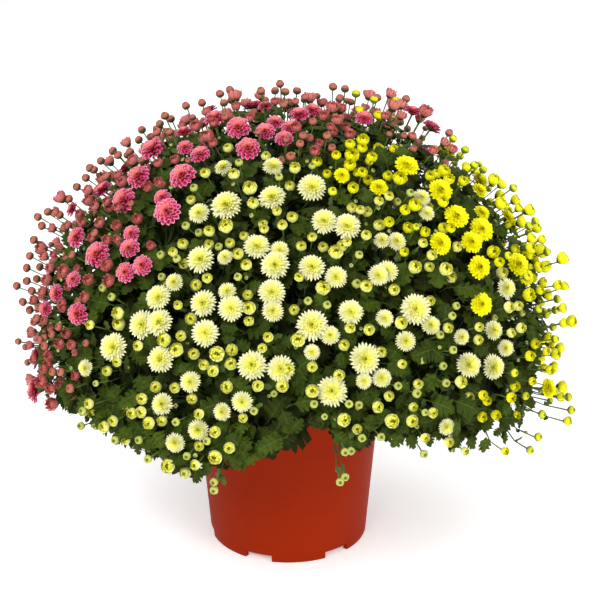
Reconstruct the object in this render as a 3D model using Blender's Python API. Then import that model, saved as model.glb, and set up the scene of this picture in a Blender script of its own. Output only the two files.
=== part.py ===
# A pot chrysanthemum: three colours of one multiflora kind, grown together into a
# dome in a plain nursery pot. Metres, +Z up, with -Y the front. The origin is on
# the ground, under the middle of the dome.
import math
import random

import bmesh
import bpy
from mathutils import Vector
from mathutils.bvhtree import BVHTree

# The pot
POT_AXIS = Vector((-0.009, 0.0, 0.0))  # the pot stands a little left of the dome
POT_HEIGHT = 0.240
POT_FOOT_RADIUS = 0.1075  # outside, on the ground
POT_DRAFT = 0.0845  # how far the wall leans out for each unit of height
POT_WALL = 0.0025
POT_FLOOR = 0.003
POT_SIDES = 36
SOIL_SIDES = 18
RIM_HEIGHT = 0.015
RIM_STEP = 0.003
FOOT_COUNT = 6
FOOT_HEIGHT = 0.0095
FOOT_DEPTH = 0.007  # from the wall inwards
FOOT_SIDES = 4  # of the pot's sides, for each foot, and the next two are its notch
FIRST_FOOT_EDGE = math.radians(-102)  # the front foot's left edge
DRAIN_HOLES = 4
DRAIN_RADIUS = 0.006
DRAIN_RING = 0.070
DRAIN_SIDES = 6

# The soil
SOIL_LEVEL = 0.222
SOIL_CROWN = 0.008  # how much higher it is in the middle
GAP = 0.0003  # what touching pieces keep between them

# The dome of flowers
DOME_CENTRE = Vector((0.0, 0.0, 0.247))
DOME_RADIUS = 0.373  # out to the furthest buds
BLOOM_SHELL = 0.350  # where the open blooms face
HALF_OPEN_SHELL = 0.354
BUD_SHELL = 0.361

# The leafy stems, each with a core of dense foliage that its flower spray stands in
STEM_RADIUS = 0.0032
STEM_DEPTH = 0.030  # how far a stem stands in the soil
STEM_SPREAD = 0.094  # how far from the pot's axis the outermost stems stand
STEM_RISE = 0.276  # the height at which an outer stem has cleared the rim and bends out
MIDDLE_RISE = 0.040  # how much later a stem in the middle bends
STEM_LEAN = 1.15  # how much further out it is there
CORE_CORNERS = 7
CORE_LOW_SHELL = 0.205  # where a stem widens into its core
CORE_UNDER_SHELL = 0.240
CORE_DISH_SHELL = 0.281  # the middle of the core's hollow top
CORE_RIM_SHELL = 0.315
CORE_UNEVENNESS = 0.007
CORE_UNDER_SHARE = 0.78  # how wide its underside is, as a share of its top
CORE_WIDEST = 0.42  # angle off its stem, in radians
CORE_GAP = 0.004  # half of what neighbouring cores keep between them
CORE_LOWEST_SINE = -0.01
LEAF_THICKNESS = 0.0015
LEAF_STALK = 0.015
LEAF_SUNK = 0.005
LEAF_LENGTHS = (0.046, 0.060)
LEAF_SHELL = 0.354  # no leaf reaches further out
LOWEST_LEAF = 0.180
LEAF_PLACES = (0.95, 0.6, 0.8)  # in turn, from the stem out to the core's edge
LEAF_SPREAD = 0.6  # how much a leaf lies down along the dome

# The flower sprays
SOCKET_DEPTH = 0.020
SPRAY_STEM_RADIUS = 0.0040
SPRAY_TOP_SHELL = 0.304
SPRAY_LOWEST_BRANCH = 0.287  # the shell of its lowest flower stalk, that of the flower furthest aside
WIDEST_BRANCH = 0.30  # that flower's angle off its stem, in radians
STALK_RADIUS = 0.0012
NECK_RADIUS = 0.0016  # where a stalk meets its flower
STALK_BENDS = (0.326, 0.318)  # the shells where a stalk may bend to miss another
CLEARANCE = 0.0005  # between what grows on different stems
WIDE_BLOOM = 0.0170  # a bloom of a larger radius has a petal more
LIGHTWARDS = Vector((0.0, -0.75, 0.65))  # which way the blooms in front lean
LEAN = 0.30
UNEVEN_FACING = 0.20

# What is tried, in this order, where a flower or leaf would cross another
NEAR_SPRAYS = 3
TRIED_SIZES = (1.0, 0.9, 0.8, 0.7)
TRIED_LIFTS = (0.0, -0.006, 0.006, -0.011, 0.011, -0.016)
TRIED_LEAF_SIZES = (1.0, 0.85, 0.7)
TRIED_LEAF_TURNS = (0.0, 0.5, -0.5, 1.0, -1.0, 1.6, -1.6, 2.2, -2.2)
TRIED_LEAF_RISES = (1.0, 0.5, 1.8)

# What starts each kind's unevenness
CORE_SEED = 5
FLOWER_SEED = 7
LEAF_SEED = 9
HIDDEN_SEED = 11

# The photograph that the blooms' places were read from, 600 by 600 pixels
EYE_ELEVATION = math.radians(22.5)
EYE_DISTANCE = 2.6
EYE_TARGET = Vector((0.007, 0.0, 0.339))
FOCAL_PIXELS = 1951
PHOTO_MIDDLE = 300

# Each bloom that shows there: its middle's column and row, and its width, in pixels
OPEN_BLOOMS_SEEN = {
    "pink": [
        (152, 149, 25), (138, 176, 24), (123, 200, 26), (182, 175, 27), (200, 154, 20), (185, 147, 16),
        (167, 211, 27), (162, 197, 17), (238, 127, 24), (248, 148, 24), (265, 131, 20), (284, 138, 18),
        (275, 122, 17), (290, 127, 18), (299, 114, 20), (313, 110, 18), (215, 118, 22), (209, 110, 17),
        (184, 132, 18), (265, 106, 16), (364, 118, 18), (359, 110, 16), (413, 111, 19), (432, 127, 20),
        (103, 189, 20), (72, 209, 16), (76, 237, 21), (97, 254, 26), (131, 233, 17), (129, 248, 20),
        (142, 265, 20), (125, 272, 20), (77, 314, 22), (56, 293, 18), (45, 309, 16), (73, 279, 16),
    ],
    "white": [
        (199, 213, 21), (226, 205, 30), (272, 197, 27), (312, 187, 28), (273, 166, 20), (223, 167, 17),
        (200, 259, 27), (257, 246, 26), (275, 265, 28), (279, 248, 19), (272, 292, 27), (273, 311, 21),
        (203, 303, 26), (231, 308, 26), (227, 291, 18), (205, 333, 27), (159, 322, 27), (158, 297, 26),
        (174, 282, 18), (225, 257, 16), (139, 324, 29), (113, 347, 28), (160, 359, 27), (85, 368, 17),
        (324, 221, 25), (347, 226, 27), (312, 267, 26), (336, 277, 22), (387, 271, 22), (377, 277, 21),
        (397, 241, 19), (382, 240, 16), (351, 312, 25), (312, 325, 31), (416, 309, 31), (385, 318, 18),
        (431, 325, 20), (406, 341, 20), (330, 335, 19), (312, 352, 16), (365, 359, 31), (252, 365, 29),
        (281, 369, 27), (190, 382, 21), (242, 402, 21), (198, 430, 21), (175, 443, 20), (222, 412, 18),
        (162, 404, 22), (332, 391, 30), (382, 378, 19), (364, 381, 16), (447, 427, 17), (422, 197, 18),
        (427, 213, 16), (507, 288, 20), (494, 330, 19), (462, 337, 16), (506, 348, 17), (469, 365, 25),
        (494, 367, 25),
    ],
    "yellow": [
        (407, 165, 24), (379, 187, 18), (441, 190, 24), (457, 216, 25), (482, 212, 16), (482, 229, 25),
        (472, 242, 22), (441, 243, 23), (480, 267, 23), (482, 304, 23), (519, 264, 23), (527, 277, 16),
        (480, 190, 17), (508, 216, 17), (342, 175, 16), (549, 388, 20),
    ],
}
HALF_OPEN_SEEN = {
    "pink": [
        (235, 95, 15), (337, 120, 12), (394, 105, 15), (426, 111, 15), (369, 94, 13), (310, 97, 14),
        (60, 197, 14), (103, 178, 15), (64, 271, 14), (109, 281, 13), (47, 280, 13), (41, 248, 14),
        (42, 381, 15), (69, 415, 12), (89, 200, 14), (196, 126, 13), (159, 139, 13), (207, 136, 14),
    ],
    "white": [
        (250, 188, 15), (336, 252, 15), (323, 288, 15), (392, 421, 15), (249, 308, 14), (164, 340, 15),
        (298, 340, 15), (344, 420, 14), (168, 466, 15), (215, 457, 15), (118, 313, 13), (132, 413, 12),
        (104, 427, 12), (461, 382, 13), (412, 421, 13),
    ],
    "yellow": [
        (522, 222, 13), (542, 251, 15), (563, 258, 14), (572, 321, 13), (352, 155, 15), (400, 178, 15),
        (529, 295, 14), (493, 252, 14), (415, 205, 14), (501, 203, 14), (363, 140, 13), (556, 354, 12),
    ],
}
BUDS_SEEN = {
    "pink": [
        (86, 178, 8), (48, 212, 8), (30, 256, 8), (27, 281, 8), (17, 286, 8), (23, 302, 8),
        (37, 318, 8), (40, 340, 8), (53, 372, 8), (186, 106, 8), (280, 84, 8), (333, 87, 8),
    ],
    "white": [(83, 411, 8), (115, 440, 8), (148, 459, 8), (185, 473, 8), (214, 490, 8), (340, 482, 8)],
    "yellow": [
        (383, 95, 8), (453, 139, 8), (483, 170, 8), (513, 188, 8), (557, 299, 8), (555, 339, 8),
        (571, 410, 8), (538, 437, 8),
    ],
}

# The side that the photograph doesn't show is filled by a rule, at a like density
SPIRAL_BLOOMS = 184  # on the whole dome, of which the hidden ones are kept
SPIRAL_SHARE_HALF_OPEN = 5  # every fifth place on the spiral is a half-open bloom
LOWEST_SINE = -0.10  # how far below its middle the dome still flowers
HIDDEN_BEYOND = 0.13  # cosine to the eye, under which the dome hides itself
LEAST_SPACING = 0.041
HIDDEN_OPEN_RADII = (0.0130, 0.0182)
HIDDEN_HALF_OPEN_RADII = (0.0072, 0.0095)
HIDDEN_BUD_RADIUS = 0.0045
HIDDEN_SHARE_BUD = 8  # every eighth place has a bud beside it
PLANT_POLES = {  # the way each plant's share of the dome faces
    "white": Vector((-0.10, -0.95, 0.10)),
    "pink": Vector((-0.35, 0.60, 0.70)),
    "yellow": Vector((0.92, -0.15, 0.10)),
}
SPRAY_COUNTS = {"white": 8, "pink": 12, "yellow": 8}
LEAST_STEM_ANGLE = 0.27  # between neighbouring stems, in radians
LOWEST_STEM_SINE = 0.12
LEAF_COUNT = 62  # on the whole dome

COLOURS = {  # linear colour and roughness
    "pot": ((0.34, 0.031, 0.008), 0.45),
    "soil": ((0.020, 0.013, 0.009), 0.95),
    "white": ((0.87, 0.85, 0.62), 0.6),
    "pink": ((0.56, 0.045, 0.19), 0.6),
    "yellow": ((0.85, 0.66, 0.01), 0.6),
    "leaf": ((0.035, 0.095, 0.018), 0.55),
}


def clear_scene():
    for thing in list(bpy.data.objects):
        bpy.data.objects.remove(thing)


def material(name):
    colour, roughness = COLOURS[name]
    made = bpy.data.materials.new(name)
    made.use_nodes = True
    shader = made.node_tree.nodes["Principled BSDF"]
    shader.inputs["Base Color"].default_value = (*colour, 1.0)
    shader.inputs["Roughness"].default_value = roughness
    shader.inputs["Metallic"].default_value = 0.0
    return made


def turned_outwards(verts, faces):
    """A mesh being worked on, from a closed skin, its faces turned outwards."""
    bm = bmesh.new()
    points = [bm.verts.new(v) for v in verts]
    for face in faces:
        bm.faces.new([points[i] for i in face])
    bmesh.ops.recalc_face_normals(bm, faces=bm.faces)
    return bm


def new_object(name, verts, faces):
    """An object from a closed skin."""
    mesh = bpy.data.meshes.new(name)
    bm = turned_outwards(verts, faces)
    bm.to_mesh(mesh)
    bm.free()
    made = bpy.data.objects.new(name, mesh)
    bpy.context.scene.collection.objects.link(made)
    return made


def boolean(target, operation, others):
    """Joins others to target, or cuts them out of it, in one go, and removes them."""
    tools = bpy.data.collections.new(target.name + "_tools")
    bpy.context.scene.collection.children.link(tools)
    for other in others:
        for owner in list(other.users_collection):
            owner.objects.unlink(other)
        tools.objects.link(other)
    modifier = target.modifiers.new(operation, "BOOLEAN")
    modifier.operation = operation
    modifier.operand_type = "COLLECTION"
    modifier.collection = tools
    for solver in ("EXACT", "MANIFOLD"):
        modifier.solver = solver
        bpy.context.view_layer.update()
        shaped = target.evaluated_get(bpy.context.evaluated_depsgraph_get())
        result = bpy.data.meshes.new_from_object(shaped)
        if is_closed(result):
            break
    target.modifiers.clear()
    target.data = result
    for other in others:
        bpy.data.objects.remove(other)
    bpy.data.collections.remove(tools)


def is_closed(mesh):
    bm = bmesh.new()
    bm.from_mesh(mesh)
    closed = all(len(edge.link_faces) == 2 for edge in bm.edges)
    bm.free()
    return closed


def across(axis, hint=Vector((0.0, 0.0, 1.0))):
    """Two unit vectors square to an axis and to each other."""
    axis = axis.normalized()
    side = axis.cross(hint)
    if side.length < 1e-3:
        side = axis.cross(Vector((1.0, 0.0, 0.0)))
    side.normalize()
    return side, axis.cross(side)


def ring(centre, side, other, radius, count, turn=0.0):
    angles = (turn + 2 * math.pi * i / count for i in range(count))
    return [centre + side * (radius * math.cos(a)) + other * (radius * math.sin(a)) for a in angles]


def prism(low, high):
    """A closed skin between two like rings of points."""
    count = len(low)
    faces = [tuple(range(count)), tuple(range(count, 2 * count))]
    faces += [(k, (k + 1) % count, count + (k + 1) % count, count + k) for k in range(count)]
    return low + high, faces


def zipped(first, second):
    """Triangles between two rings of vertex numbers that start at the same angle."""
    faces = []
    i = j = 0
    while i < len(first) or j < len(second):
        if j >= len(second) or (i < len(first) and (i + 1) / len(first) <= (j + 1) / len(second)):
            faces.append((first[i % len(first)], first[(i + 1) % len(first)], second[j % len(second)]))
            i += 1
        else:
            faces.append((first[i % len(first)], second[(j + 1) % len(second)], second[j % len(second)]))
            j += 1
    return faces


def tube(verts, faces, start, points, scale):
    """Runs a tube on from the ring at start through points, its rings alike and parallel, and closes it."""
    place = sum((verts[i] for i in start), Vector()) / len(start)
    spokes = [(verts[i] - place) * scale for i in start]
    last = start
    for point in points:
        numbers = list(range(len(verts), len(verts) + len(start)))
        verts.extend(point + spoke for spoke in spokes)
        faces.extend((last[i - 1], last[i], numbers[i], numbers[i - 1]) for i in range(len(start)))
        last = numbers
    faces.append(tuple(last))
    return last


def star(face, normal, radius, petals, turn, tip, valley):
    """A ring of petal tips, and the valleys between them. tip and valley say how far out and up."""
    side, other = across(normal)
    verts = []
    for i in range(2 * petals):
        reach, height = valley if i % 2 else tip
        angle = turn + i * math.pi / petals
        outwards = side * math.cos(angle) + other * math.sin(angle)
        verts.append(face + outwards * (radius * reach) + normal * (radius * height))
    return verts


def add_neck(verts, faces, edge, place, normal, radius, turn):
    """Closes a head's underside down to the three-sided neck that its stalk grows from."""
    side, other = across(normal)
    neck = list(range(len(verts), len(verts) + 3))
    verts += ring(place, side, other, radius, 3, turn)
    faces += zipped(edge, neck)
    return neck


def open_head(face, normal, radius, turn):
    """An open bloom: a star of outer petals and a raised inner layer."""
    petals = 7 if radius > WIDE_BLOOM else 6
    verts = star(face, normal, radius, petals, turn, (1.0, -0.04), (0.66, 0.03))
    side, other = across(normal)
    raised = face + normal * (radius * 0.30)
    verts += ring(raised, side, other, radius * 0.52, petals, turn + math.pi / petals)
    faces = [tuple(range(2 * petals, 3 * petals))]
    for k in range(petals):
        before, inner = 2 * petals + (k - 1) % petals, 2 * petals + k
        tip, valley, last_valley = 2 * k, 2 * k + 1, (2 * k - 1) % (2 * petals)
        faces += [(before, last_valley, tip), (before, tip, inner), (inner, tip, valley)]
    edge = list(range(2 * petals))
    neck = add_neck(verts, faces, edge, face - normal * (radius * 0.36), normal, NECK_RADIUS, turn)
    return verts, faces, neck


def half_open_head(face, normal, radius, turn):
    """A half-open bloom: a cup of petals that stand up round a sunk middle."""
    petals = 4
    verts = star(face, normal, radius, petals, turn, (1.0, 0.45), (0.82, 0.16))
    verts.append(face + normal * (radius * 0.10))
    faces = [(2 * petals, (i - 1) % (2 * petals), i) for i in range(2 * petals)]
    edge = list(range(2 * petals))
    neck = add_neck(verts, faces, edge, face - normal * (radius * 0.75), normal, NECK_RADIUS, turn)
    return verts, faces, neck


def bud_head(face, normal, radius, turn):
    """A closed bud: a four-sided knob that comes to a point."""
    side, other = across(normal)
    verts = ring(face, side, other, radius, 4, turn)
    verts.append(face + normal * (radius * 0.9))
    faces = [(4, (i - 1) % 4, i) for i in range(4)]
    neck = add_neck(verts, faces, [0, 1, 2, 3], face - normal * (radius * 0.9), normal, NECK_RADIUS, turn)
    return verts, faces, neck


LEAF_OUTLINE = [  # along and across the leaf, as shares of its length, and how far it droops
    (0.30, 0.36, -0.05), (0.47, 0.17, 0.01), (0.72, 0.34, -0.08), (0.70, 0.12, -0.02), (1.00, 0.0, -0.14),
    (0.70, -0.12, -0.02), (0.72, -0.34, -0.08), (0.47, -0.17, 0.01), (0.30, -0.36, -0.05),
]


def leaf_skin(base, way, up, length, foot):
    """A lobed leaf, thin and arched, on its stalk."""
    way = way.normalized()
    side = up.cross(way).normalized()
    up = way.cross(side)
    verts = [base + way * (x * length) + side * (y * length) + up * (z * length) for x, y, z in LEAF_OUTLINE]
    count = len(verts)
    top, under = count, count + 1
    middle = base + way * (0.45 * length) + up * (0.055 * length)
    verts += [middle, middle - up * LEAF_THICKNESS]
    neck = [count + 2, count + 3, count + 4]
    verts += [base + side * STALK_RADIUS, base - up * (STALK_RADIUS * 1.6), base - side * STALK_RADIUS]
    left, keel, right = neck
    rim = [left] + list(range(count)) + [right]
    faces = [(top, a, b) for a, b in zip(rim, rim[1:])] + [(top, right, left)]
    faces += [(under, b, a) for a, b in zip(rim, rim[1:])] + [(under, left, keel), (under, keel, right)]
    tube(verts, faces, neck, [foot], 1.0)
    return verts, faces


def cell_edge(direction, others, angle):
    """How far off its stem a core may reach, one way round, before it nears another's."""
    side, other = across(direction)
    aside = side * math.cos(angle) + other * math.sin(angle)
    reach = CORE_WIDEST
    for neighbour in others:
        towards = aside.dot(neighbour)
        if towards > 0:
            halfway = math.atan2(1 - direction.dot(neighbour), towards)
            reach = min(reach, halfway - CORE_GAP / CORE_RIM_SHELL)
    while (direction * math.cos(reach) + aside * math.sin(reach)).z < CORE_LOWEST_SINE and reach > 0.05:
        reach -= 0.01
    return reach, aside


def core_skin(stem, others, draw):
    """A leafy stem from its foot to its core: an uneven mass, hollow on top, with a socket for the spray."""
    foot, bend, low = stem["route"]
    direction = stem["direction"]
    side, other = across((low - foot).normalized(), Vector((0.0, 1.0, 0.0)))
    verts = ring(foot, side, other, STEM_RADIUS, 4)
    faces = [(0, 1, 2, 3)]
    neck = tube(verts, faces, [0, 1, 2, 3], [bend, low], 1.0)
    faces.pop()
    under, rim = [], []
    for i in range(CORE_CORNERS):
        reach, aside = cell_edge(direction, others, 2 * math.pi * i / CORE_CORNERS)
        stem["edge"].append(direction * math.cos(reach) + aside * math.sin(reach))
        edges = ((CORE_UNDER_SHARE, CORE_UNDER_SHELL, under), (1.0, CORE_RIM_SHELL, rim))
        for share, shell, numbers in edges:
            angle = reach * share
            shell += draw.uniform(-1, 1) * CORE_UNEVENNESS
            numbers.append(len(verts))
            verts.append(DOME_CENTRE + (direction * math.cos(angle) + aside * math.sin(angle)) * shell)
    side, other = across(direction)
    mouth = list(range(len(verts), len(verts) + 4))
    width = SPRAY_STEM_RADIUS + 2 * GAP
    verts += ring(DOME_CENTRE + direction * CORE_DISH_SHELL, side, other, width, 4)
    floor = list(range(len(verts), len(verts) + 4))
    verts += ring(DOME_CENTRE + direction * (CORE_DISH_SHELL - SOCKET_DEPTH), side, other, width, 4)
    faces += zipped(under, turned_to_match(verts, neck, under[0]))
    faces += zipped(under, rim) + zipped(rim, mouth) + zipped(mouth, floor)
    faces.append(tuple(floor))
    return verts, faces


def turned_to_match(verts, numbers, first):
    """The same ring of vertex numbers, started at the one nearest to another vertex."""
    start = min(range(len(numbers)), key=lambda k: (verts[numbers[k]] - verts[first]).length)
    return numbers[start:] + numbers[:start]


def spray_stem_skin(direction):
    """A spray's own short stem, from the floor of its socket to its point."""
    side, other = across(direction)
    levels = (CORE_DISH_SHELL - SOCKET_DEPTH + 1.5 * GAP, SPRAY_TOP_SHELL)
    verts = []
    for level in levels:
        verts += ring(DOME_CENTRE + direction * level, side, other, SPRAY_STEM_RADIUS, 4)
    verts.append(DOME_CENTRE + direction * (SPRAY_TOP_SHELL + SPRAY_STEM_RADIUS))
    faces = [(0, 1, 2, 3)] + [(i, (i + 1) % 4, 4 + (i + 1) % 4, 4 + i) for i in range(4)]
    faces += [(8, 4 + i, 4 + (i + 1) % 4) for i in range(4)]
    return verts, faces


def grown(verts, faces, margin):
    """The same skin, moved out by a margin."""
    bm = turned_outwards(verts, faces)
    bm.normal_update()
    moved = [vert.co + vert.normal * margin for vert in bm.verts]
    bm.free()
    return moved


class Thicket:
    """What has grown so far, for the next piece to be bent clear of."""

    def __init__(self):
        self.trees = []

    def add(self, node, verts, faces):
        middle = sum(verts, Vector()) / len(verts)
        reach = max((v - middle).length for v in verts)
        self.trees.append((node, BVHTree.FromPolygons(verts, faces), middle, reach))

    def is_clear(self, node, verts, faces):
        """Whether a skin misses everything that grows on other stems."""
        wide = grown(verts, faces, CLEARANCE)
        tree = BVHTree.FromPolygons(wide, faces)
        middle = sum(verts, Vector()) / len(verts)
        reach = max((v - middle).length for v in verts)
        for other, other_tree, other_middle, other_reach in self.trees:
            if other == node or (middle - other_middle).length > reach + other_reach:
                continue
            if tree.overlap(other_tree):
                return False
        return True


def eye():
    forward = Vector((0.0, math.cos(EYE_ELEVATION), -math.sin(EYE_ELEVATION)))
    return EYE_TARGET - forward * EYE_DISTANCE, forward


def seen_on_dome(column, row, shell):
    """Where the line of sight through a pixel meets a shell of the dome, or passes nearest to it."""
    place, forward = eye()
    up = Vector((0.0, math.sin(EYE_ELEVATION), math.cos(EYE_ELEVATION)))
    right = Vector((1.0, 0.0, 0.0))
    sight = forward + right * ((column - PHOTO_MIDDLE) / FOCAL_PIXELS)
    sight = (sight - up * ((row - PHOTO_MIDDLE) / FOCAL_PIXELS)).normalized()
    nearest = sight.dot(DOME_CENTRE - place)
    offset = place + sight * nearest - DOME_CENTRE
    if offset.length > shell:
        return place + sight * nearest
    return place + sight * (nearest - math.sqrt(shell ** 2 - offset.length_squared))


def width_seen(place, pixels):
    eye_place, forward = eye()
    return pixels * (place - eye_place).dot(forward) / FOCAL_PIXELS


def colour_of(direction):
    return max(PLANT_POLES, key=lambda name: direction.dot(PLANT_POLES[name].normalized()))


def read_from_photo():
    """The flowers that the photograph shows, as (kind, colour, place, radius)."""
    flowers = []
    kinds = (("open", OPEN_BLOOMS_SEEN, BLOOM_SHELL), ("half_open", HALF_OPEN_SEEN, HALF_OPEN_SHELL),
             ("bud", BUDS_SEEN, BUD_SHELL))
    for kind, seen, shell in kinds:
        for colour, places in seen.items():
            for column, row, width in places:
                place = seen_on_dome(column, row, shell)
                flowers.append((kind, colour, place, width_seen(place, width) / 2))
    return flowers


def fill_hidden_side(flowers):
    """Carries the flowers on round the side that the photograph hides, along a spiral."""
    draw = random.Random(HIDDEN_SEED)
    towards_eye = (eye()[0] - DOME_CENTRE).normalized()
    golden = math.pi * (3 - math.sqrt(5))
    added = []
    for i in range(SPIRAL_BLOOMS):
        sine = LOWEST_SINE + (1 - LOWEST_SINE) * (i + 0.5) / SPIRAL_BLOOMS
        angle = golden * i + draw.uniform(-0.05, 0.05)
        level = math.sqrt(1 - sine ** 2)
        height = sine + draw.uniform(-0.02, 0.02)
        direction = Vector((level * math.cos(angle), level * math.sin(angle), height)).normalized()
        half_open = i % SPIRAL_SHARE_HALF_OPEN == 0
        size = draw.uniform(*(HIDDEN_HALF_OPEN_RADII if half_open else HIDDEN_OPEN_RADII))
        place = DOME_CENTRE + direction * (HALF_OPEN_SHELL if half_open else BLOOM_SHELL)
        if direction.dot(towards_eye) > HIDDEN_BEYOND:
            continue
        if any((place - other[2]).length < LEAST_SPACING for other in flowers if other[0] == "open"):
            continue
        added.append(("half_open" if half_open else "open", colour_of(direction), place, size))
        if i % HIDDEN_SHARE_BUD == 1:
            aside = Vector((draw.uniform(-1, 1), draw.uniform(-1, 1), draw.uniform(-1, 1)))
            direction = (direction + aside * 0.08).normalized()
            place = DOME_CENTRE + direction * DOME_RADIUS
            added.append(("bud", colour_of(direction), place, HIDDEN_BUD_RADIUS))
    return added


def spread_groups(directions, count):
    """Shares directions out among a number of even groups, and gives the groups' middles."""
    middles = [directions[0]]
    while len(middles) < count:
        middles.append(max(directions, key=lambda d: min((d - m).length for m in middles)))
    for _ in range(12):
        groups = [[] for _ in middles]
        for direction in directions:
            nearest = min(range(count), key=lambda k: (direction - middles[k]).length)
            groups[nearest].append(direction)
        middles = [sum(group, Vector()).normalized() if group else m for group, m in zip(groups, middles)]
    return middles


def pushed_apart(directions):
    """The same directions, moved until no two stems stand closer than they need."""
    moved = list(directions)
    for _ in range(40):
        for i, first in enumerate(moved):
            for k in range(i + 1, len(moved)):
                apart = moved[k] - moved[i]
                short = LEAST_STEM_ANGLE - apart.length
                if short > 0:
                    moved[i] = (moved[i] - apart.normalized() * (short / 2)).normalized()
                    moved[k] = (moved[k] + apart.normalized() * (short / 2)).normalized()
        for i, direction in enumerate(moved):
            if direction.z < LOWEST_STEM_SINE:
                direction.z = LOWEST_STEM_SINE
                moved[i] = direction.normalized()
    return moved


def stem_route(direction, shell):
    """A stem's way from its hole in the soil, up past the rim and out to its shell."""
    level = Vector((direction.x, direction.y, 0.0))
    foot = POT_AXIS + level * STEM_SPREAD
    foot.z = soil_height(level.length * STEM_SPREAD) - STEM_DEPTH
    bend = POT_AXIS + level * (STEM_SPREAD * STEM_LEAN)
    bend.z = STEM_RISE + MIDDLE_RISE * max(direction.z, 0.0)
    return [foot, bend, DOME_CENTRE + direction * shell]


def soil_height(distance):
    return SOIL_LEVEL + SOIL_CROWN * (1 - (distance / 0.12) ** 2)


def facing(direction, draw):
    """The way a bloom faces: outwards, those in front a little up towards the light, and unevenly."""
    front = min(max(0.5 - 1.2 * direction.y, 0.0), 1.0)
    unevenness = Vector((draw.uniform(-1, 1), draw.uniform(-1, 1), draw.uniform(-1, 1)))
    return (direction + LIGHTWARDS * (LEAN * front) + unevenness * UNEVEN_FACING).normalized()


HEADS = {"open": open_head, "half_open": half_open_head, "bud": bud_head}


def stalk_routes(neck_place, spray):
    """Ways from a head's neck to its stem: straight, or first inwards and then across."""
    inwards = (neck_place - DOME_CENTRE).normalized()
    width = min(inwards.angle(spray["direction"]) / WIDEST_BRANCH, 1.0)
    shell = SPRAY_TOP_SHELL + width * (SPRAY_LOWEST_BRANCH - SPRAY_TOP_SHELL)
    foot = DOME_CENTRE + spray["direction"] * shell
    yield [foot]
    for bend in STALK_BENDS:
        yield [DOME_CENTRE + inwards * bend, foot]


def grow_flower(thicket, heads, sprays, flower, draw):
    """Finds a size, a height, a spray and a stalk for one flower that miss all the rest."""
    kind, colour, place, radius = flower
    direction = (place - DOME_CENTRE).normalized()
    normal = facing(direction, draw)
    turn = draw.uniform(0, math.pi)
    near = sorted(sprays[colour], key=lambda spray: direction.angle(spray["direction"]))[:NEAR_SPRAYS]
    for size in TRIED_SIZES:
        for lift in TRIED_LIFTS:
            face = place + direction * lift
            verts, faces, neck = HEADS[kind](face, normal, radius * size, turn)
            if not heads.is_clear(None, verts, faces):
                continue
            neck_place = sum((verts[i] for i in neck), Vector()) / 3
            for spray in near:
                for route in stalk_routes(neck_place, spray):
                    skin = (list(verts), list(faces))
                    tube(*skin, neck, route, STALK_RADIUS / NECK_RADIUS)
                    if thicket.is_clear(spray["name"], *skin):
                        heads.add(flower, verts, faces)
                        thicket.add(spray["name"], *skin)
                        spray["skins"].append(skin)
                        return True
    return False


def grow_leaf(thicket, stem, share, corner, draw):
    """Finds a place on a leafy stem's core for one leaf that misses all the rest."""
    edge = stem["edge"][corner % CORE_CORNERS] + stem["edge"][(corner + 1) % CORE_CORNERS]
    outwards = stem["direction"].lerp(edge.normalized(), share).normalized()
    core = BVHTree.FromPolygons(*stem["own_skin"])
    surface = core.ray_cast(DOME_CENTRE + outwards * DOME_RADIUS, -outwards)[0]
    foot = surface - outwards * LEAF_SUNK
    side, other = across(outwards)
    length = draw.uniform(*LEAF_LENGTHS)
    turn = draw.uniform(0, 2 * math.pi)
    for size in TRIED_LEAF_SIZES:
        for turned in TRIED_LEAF_TURNS:
            around = side * math.cos(turn + turned) + other * math.sin(turn + turned)
            for rise in TRIED_LEAF_RISES:
                base = foot + (around * 0.5 + outwards).normalized() * (LEAF_STALK * size + LEAF_SUNK)
                way = around + outwards * (rise - LEAF_SPREAD)
                skin = leaf_skin(base, way, outwards, length * size, foot)
                furthest = max((v - DOME_CENTRE).length for v in skin[0])
                if furthest > LEAF_SHELL or min(v.z for v in skin[0]) < LOWEST_LEAF:
                    continue
                if thicket.is_clear(stem["name"], *skin):
                    thicket.add(stem["name"], *skin)
                    stem["skins"].append(skin)
                    return True
    return False


def planned_stems(flowers):
    """The flower sprays of each colour, and the leafy stem that each of them stands in."""
    colours, middles = [], []
    for colour, count in SPRAY_COUNTS.items():
        directions = [(f[2] - DOME_CENTRE).normalized() for f in flowers if f[1] == colour and f[0] == "open"]
        middles += spread_groups(directions, count)
        colours += [colour] * count
    sprays, leafy = {colour: [] for colour in SPRAY_COUNTS}, []
    for colour, direction in zip(colours, pushed_apart(middles)):
        name = f"{colour}_spray_{len(sprays[colour]) + 1:02d}"
        sprays[colour].append({"name": name, "colour": colour, "direction": direction, "skins": []})
        leafy.append({"name": f"leafy_stem_{len(leafy) + 1:02d}", "colour": "leaf", "direction": direction,
                      "route": stem_route(direction, CORE_LOW_SHELL), "edge": [], "skins": []})
    return sprays, leafy


def build_stem(stem, finishes):
    """One stem with all that grows on it, in one skin."""
    whole = new_object(stem["name"], *stem["own_skin"])
    others = [new_object(stem["name"] + "_piece", *skin) for skin in stem["skins"]]
    boolean(whole, "UNION", others)
    whole.data.materials.clear()
    whole.data.materials.append(finishes[stem["colour"]])
    return whole


def pot_radius(height):
    """The outside radius of the pot's wall."""
    return POT_FOOT_RADIUS + POT_DRAFT * height


def turned_skin(profile, sides):
    """A skin turned round the pot's axis from (radius, height) points, closed at both ends."""
    verts, faces = [], []
    rings = []
    for radius, height in profile:
        rings.append(list(range(len(verts), len(verts) + sides)))
        middle = POT_AXIS + Vector((0.0, 0.0, height))
        verts += ring(middle, Vector((1, 0, 0)), Vector((0, 1, 0)), radius, sides, FIRST_FOOT_EDGE)
    for low, high in zip(rings, rings[1:]):
        faces += [(low[i - 1], low[i], high[i], high[i - 1]) for i in range(sides)]
    faces += [tuple(rings[0]), tuple(rings[-1])]
    return verts, faces


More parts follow.
